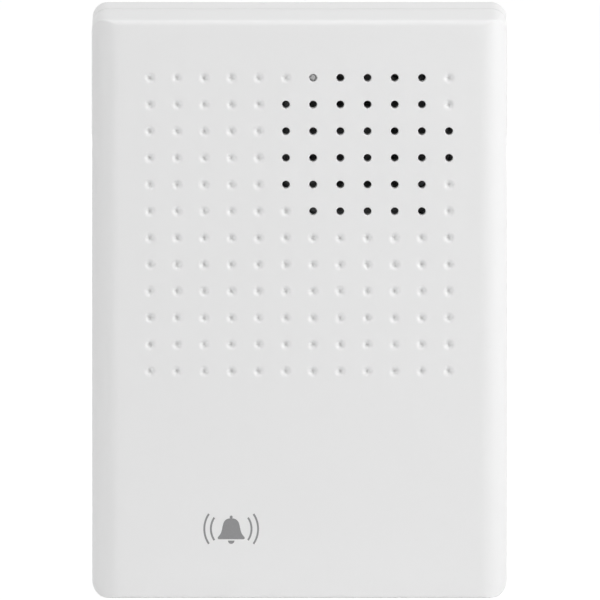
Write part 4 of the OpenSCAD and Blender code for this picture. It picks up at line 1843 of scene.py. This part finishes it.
    def loops(self) -> list[tuple[list[Flat], list[Flat]]]:
        """Inner and outer loops of the components' printed outlines.

        Returns:
            Pairs of loops, as places on the wall.
        """
        resistors, discs, diode = map(self.seat, ("resistors", "ceramic_capacitors", "zener_diode"))
        lying_x = (self.lying_foot + span("filter_capacitor")[1][0]) / 2 - BOARD[0]
        boxes = [(diode, self.diode_box), (self.block_at, self.block_box)]
        boxes.append(((lying_x, self.seat("filter_capacitor")[1]), self.lying_box))
        for x in spread(resistors[0], self.resistor_step, self.resistor_count):
            boxes.append(((x, resistors[1]), self.resistor_box))
        for x in spread(discs[0], self.disc_step, self.disc_count):
            boxes.append(((x, discs[1]), self.disc_box))
        hoops = [(pad, self.wire_hoop) for pad in self.leads().wires]
        hoops.append((self.seat("coupling_capacitor"), self.standing_hoop))
        hoops.append((self.seat("melody_chip"), self.chip_hoop))
        hoops.append((self.transistor_at(), self.transistor_hoop))
        grows = (0.0, self.line_width)
        loops = []
        for (x, up), (wide, tall) in boxes:
            corners = ((1, 1), (-1, 1), (-1, -1), (1, -1))
            sizes = [(wide / 2 + grow, tall / 2 + grow) for grow in grows]
            loops.append(tuple([on_board(x + sx * w, up + sy * h) for sx, sy in corners] for w, h in sizes))
        for at, radius in hoops:
            loops.append(tuple(circle(on_board(*at), radius + grow, self.hoop_sides) for grow in grows))
        return loops

    def outlines(self) -> None:
        """Makes the printed outlines of the components, with no letters."""
        low, high = BOARD_REAR + self.sunk, BOARD_REAR - self.line_height
        sketch = MeshSketch()
        for inner, outer in self.loops():
            sketch.frame_strip(inner, outer, low, high)
        x, up = self.plus_at
        bar_x, bar_up = self.seat("zener_diode")
        bar_x += self.cathode
        marks = (
            ((x - self.plus_half, up), (x + self.plus_half, up)),
            ((x, up - self.plus_half), (x, up + self.plus_half)),
            ((bar_x, bar_up - self.cathode_half), (bar_x, bar_up + self.cathode_half)),
        )
        for points in marks:
            sketch.prism(self.strip(points, self.line_width), low, high)
        sketch.piece("board_outlines", self.legend, "board_laminate", self.print_sharp)

    def pads(self) -> None:
        """Makes the small cones of solder where the leads go into the board."""
        sketch = MeshSketch()
        for lead in self.leads().soldered():
            self.pad.add(sketch, (*on_board(*lead), BOARD_REAR + self.sunk))
        sketch.piece("board_pads", self.solder, "tinned_brass")

    def build(self) -> None:
        """Dresses the solids and adds what is printed and soldered on the board."""
        dress_nodes(
            {
                "circuit_board": self.mask,
                "board_screws": self.screw,
                "melody_chip": self.drop,
                "filter_capacitor": self.lying_sleeve(),
                "coupling_capacitor": self.standing_sleeve(),
                "driver_transistor": self.transistor,
                "zener_diode": self.ringed_diode(),
                "resistors": self.ringed_resistors(),
                "ceramic_capacitors": self.disc,
            }
        )
        self.tracks()
        self.outlines()
        self.pads()


@dataclass
class TerminalBlock:
    """Screw terminals for the outside wires."""

    housing: Finish = MouldedPlastic(
        "terminal_green", (0.03, 0.24, 0.11), roughness=0.5, grain=4.0, depth=0.012, mottle=0.12
    )
    bar: Finish = PlatedMetal("bar_brass", (0.72, 0.55, 0.26), tint=(0.7, 0.6, 0.42), roughness=0.32)
    screw: Finish = PlatedMetal(
        "terminal_screw_zinc", (0.62, 0.62, 0.62), tint=(0.7, 0.64, 0.46), roughness=0.28
    )
    cage: Finish = PlatedMetal("cage_nickel", (0.64, 0.62, 0.58), tint=(0.58, 0.57, 0.56), roughness=0.3)

    def build(self) -> None:
        """Dresses the solids."""
        dress_nodes({"terminal_housing": self.housing, "contact_bars": self.bar})
        for pole in range(1, POLES + 1):
            dress_nodes({f"terminal_screw_{pole}": self.screw, f"clamp_cage_{pole}": self.cage})


def place_facing(thing: bpy.types.Object, location: Vector, away: Vector) -> None:
    """Adds a lamp or camera to the scene, looking back along a direction.

    Args:
        thing: Lamp or camera.
        location: Its place in metres.
        away: Direction from what it looks at to it.
    """
    thing.location = location
    thing.rotation_mode = "QUATERNION"
    thing.rotation_quaternion = away.to_track_quat("Z", "Y")
    bpy.context.scene.collection.objects.link(thing)


@dataclass(frozen=True)
class Lamp:
    """Soft lamp that looks at the chime from a direction; its size and distance are in metres."""

    name: str
    direction: Place
    watts: float
    size: Flat = (0.26, 0.26)
    distance: float = 0.6

    def hang(self) -> None:
        """Adds the lamp to the scene."""
        data = bpy.data.lights.new(self.name, "AREA")
        data.shape = "RECTANGLE"
        data.energy = self.watts
        data.size, data.size_y = self.size
        away = Vector(self.direction).normalized()
        place_facing(bpy.data.objects.new(self.name, data), away * self.distance, away)


@dataclass
class Studio:
    """Floor, light and camera; the floor's reach and the camera's clipping are in metres.

    The floor's shown share is how much of its look is plain white, and the rest keeps the shadow.
    The camera's distance follows from the scale of the picture at the place that it aims at.
    """

    floor_gap: float = 0.02
    floor_reach: float = 30.0
    floor_colour: Colour = (0.86, 0.86, 0.86)
    shown_share: float = 0.85
    shown_white: float = 1.118
    white: Colour = (1.0, 1.0, 1.0)
    sky: float = 0.403
    sky_shown: float = 1.0
    lamps: tuple[Lamp, ...] = (
        Lamp("key_lamp", (0.74, -0.47, 0.48), watts=1.32),
        Lamp("right_lamp", (0.92, -0.38, 0.05), watts=0.46),
        Lamp("left_lamp", (-0.87, -0.5, 0.0), watts=0.87),
        Lamp("top_lamp", (0.0, -0.1, 1.0), watts=0.79, size=(0.5, 0.2)),
        Lamp("brow_lamp", (0.0, -0.62, 0.78), watts=0.16),
        Lamp("rear_lamp", (0.0, 1.0, 0.0), watts=1.4, size=(0.06, 0.08)),
    )
    lens: float = 1600.0
    sensor: float = 36.0
    clip: Flat = (0.1, 20.0)
    px_per_mm: float = 6.392
    frame_px: float = 600.0
    elevation: float = 7.03
    aim: Place = (0.078, 1.485, 26.0)

    def floor(self) -> None:
        """Makes a wide pale floor that shows as white and keeps a soft shadow."""
        height = (span("front_cover")[0][1] - self.floor_gap) * MM
        reach = self.floor_reach
        corners = [(-reach, -reach), (reach, -reach), (reach, reach), (-reach, reach)]
        mesh = bpy.data.meshes.new("studio_floor")
        mesh.from_pydata([(x, y, height) for x, y in corners], [], [range(len(corners))])
        made = bpy.data.objects.new("studio_floor", mesh)
        bpy.context.scene.collection.objects.link(made)
        material = bpy.data.materials.new("floor_paper")
        material.use_nodes = True
        tree = NodeTree(material.node_tree)
        matte = tree.node("ShaderNodeBsdfDiffuse", None, {"Color": self.floor_colour})
        shown = tree.node("ShaderNodeEmission", None, {"Color": self.white, "Strength": self.shown_white})
        share = tree.seen() * self.shown_share
        paper = tree.node("ShaderNodeMixShader", None, {0: share, 1: matte, 2: shown})
        tree.end("ShaderNodeOutputMaterial", paper)
        mesh.materials.append(material)

    def light(self) -> None:
        """Makes an even sky, which shows as white, and hangs soft lamps around the chime."""
        world = bpy.data.worlds.new("studio_sky")
        bpy.context.scene.world = world
        world.use_nodes = True
        tree = NodeTree(world.node_tree)
        dim, shown = (
            tree.node("ShaderNodeBackground", None, {"Color": self.white, "Strength": strength})
            for strength in (self.sky, self.sky_shown)
        )
        sky = tree.node("ShaderNodeMixShader", None, {0: tree.seen(), 1: dim, 2: shown})
        tree.end("ShaderNodeOutputWorld", sky)
        for lamp in self.lamps:
            lamp.hang()

    def camera(self) -> None:
        """Sets up a long lens that looks from a little above."""
        data = bpy.data.cameras.new("camera")
        data.lens, data.sensor_width = self.lens, self.sensor
        data.clip_start, data.clip_end = self.clip
        distance = self.frame_px / self.px_per_mm * MM * self.lens / self.sensor
        tilt = math.radians(self.elevation)
        away = Vector((0.0, -math.cos(tilt), math.sin(tilt)))
        made = bpy.data.objects.new("camera", data)
        place_facing(made, row(*self.aim) + away * distance, away)
        bpy.context.scene.camera = made

    def build(self) -> None:
        """Sets up the studio."""
        self.floor()
        self.light()
        self.camera()
        bpy.context.scene.view_settings.view_transform = "Standard"


def main() -> None:
    """Builds every part of the chime in order."""
    logging.basicConfig(level=logging.INFO, format="%(name)s: %(message)s")
    gasket_low, gasket_high = span("speaker_gasket")
    parts = (
        Studio(),
        FrontCover(*span("front_cover")),
        BackCover(),
        Loudspeaker(gasket_low[2], gasket_high[2], glue_high=span("speaker_glue")[1][2]),
        SpeakerLeads(),
        SoundBoard(),
        TerminalBlock(),
    )
    for part in parts:
        part.build()


if __name__ == "__main__":
    main()
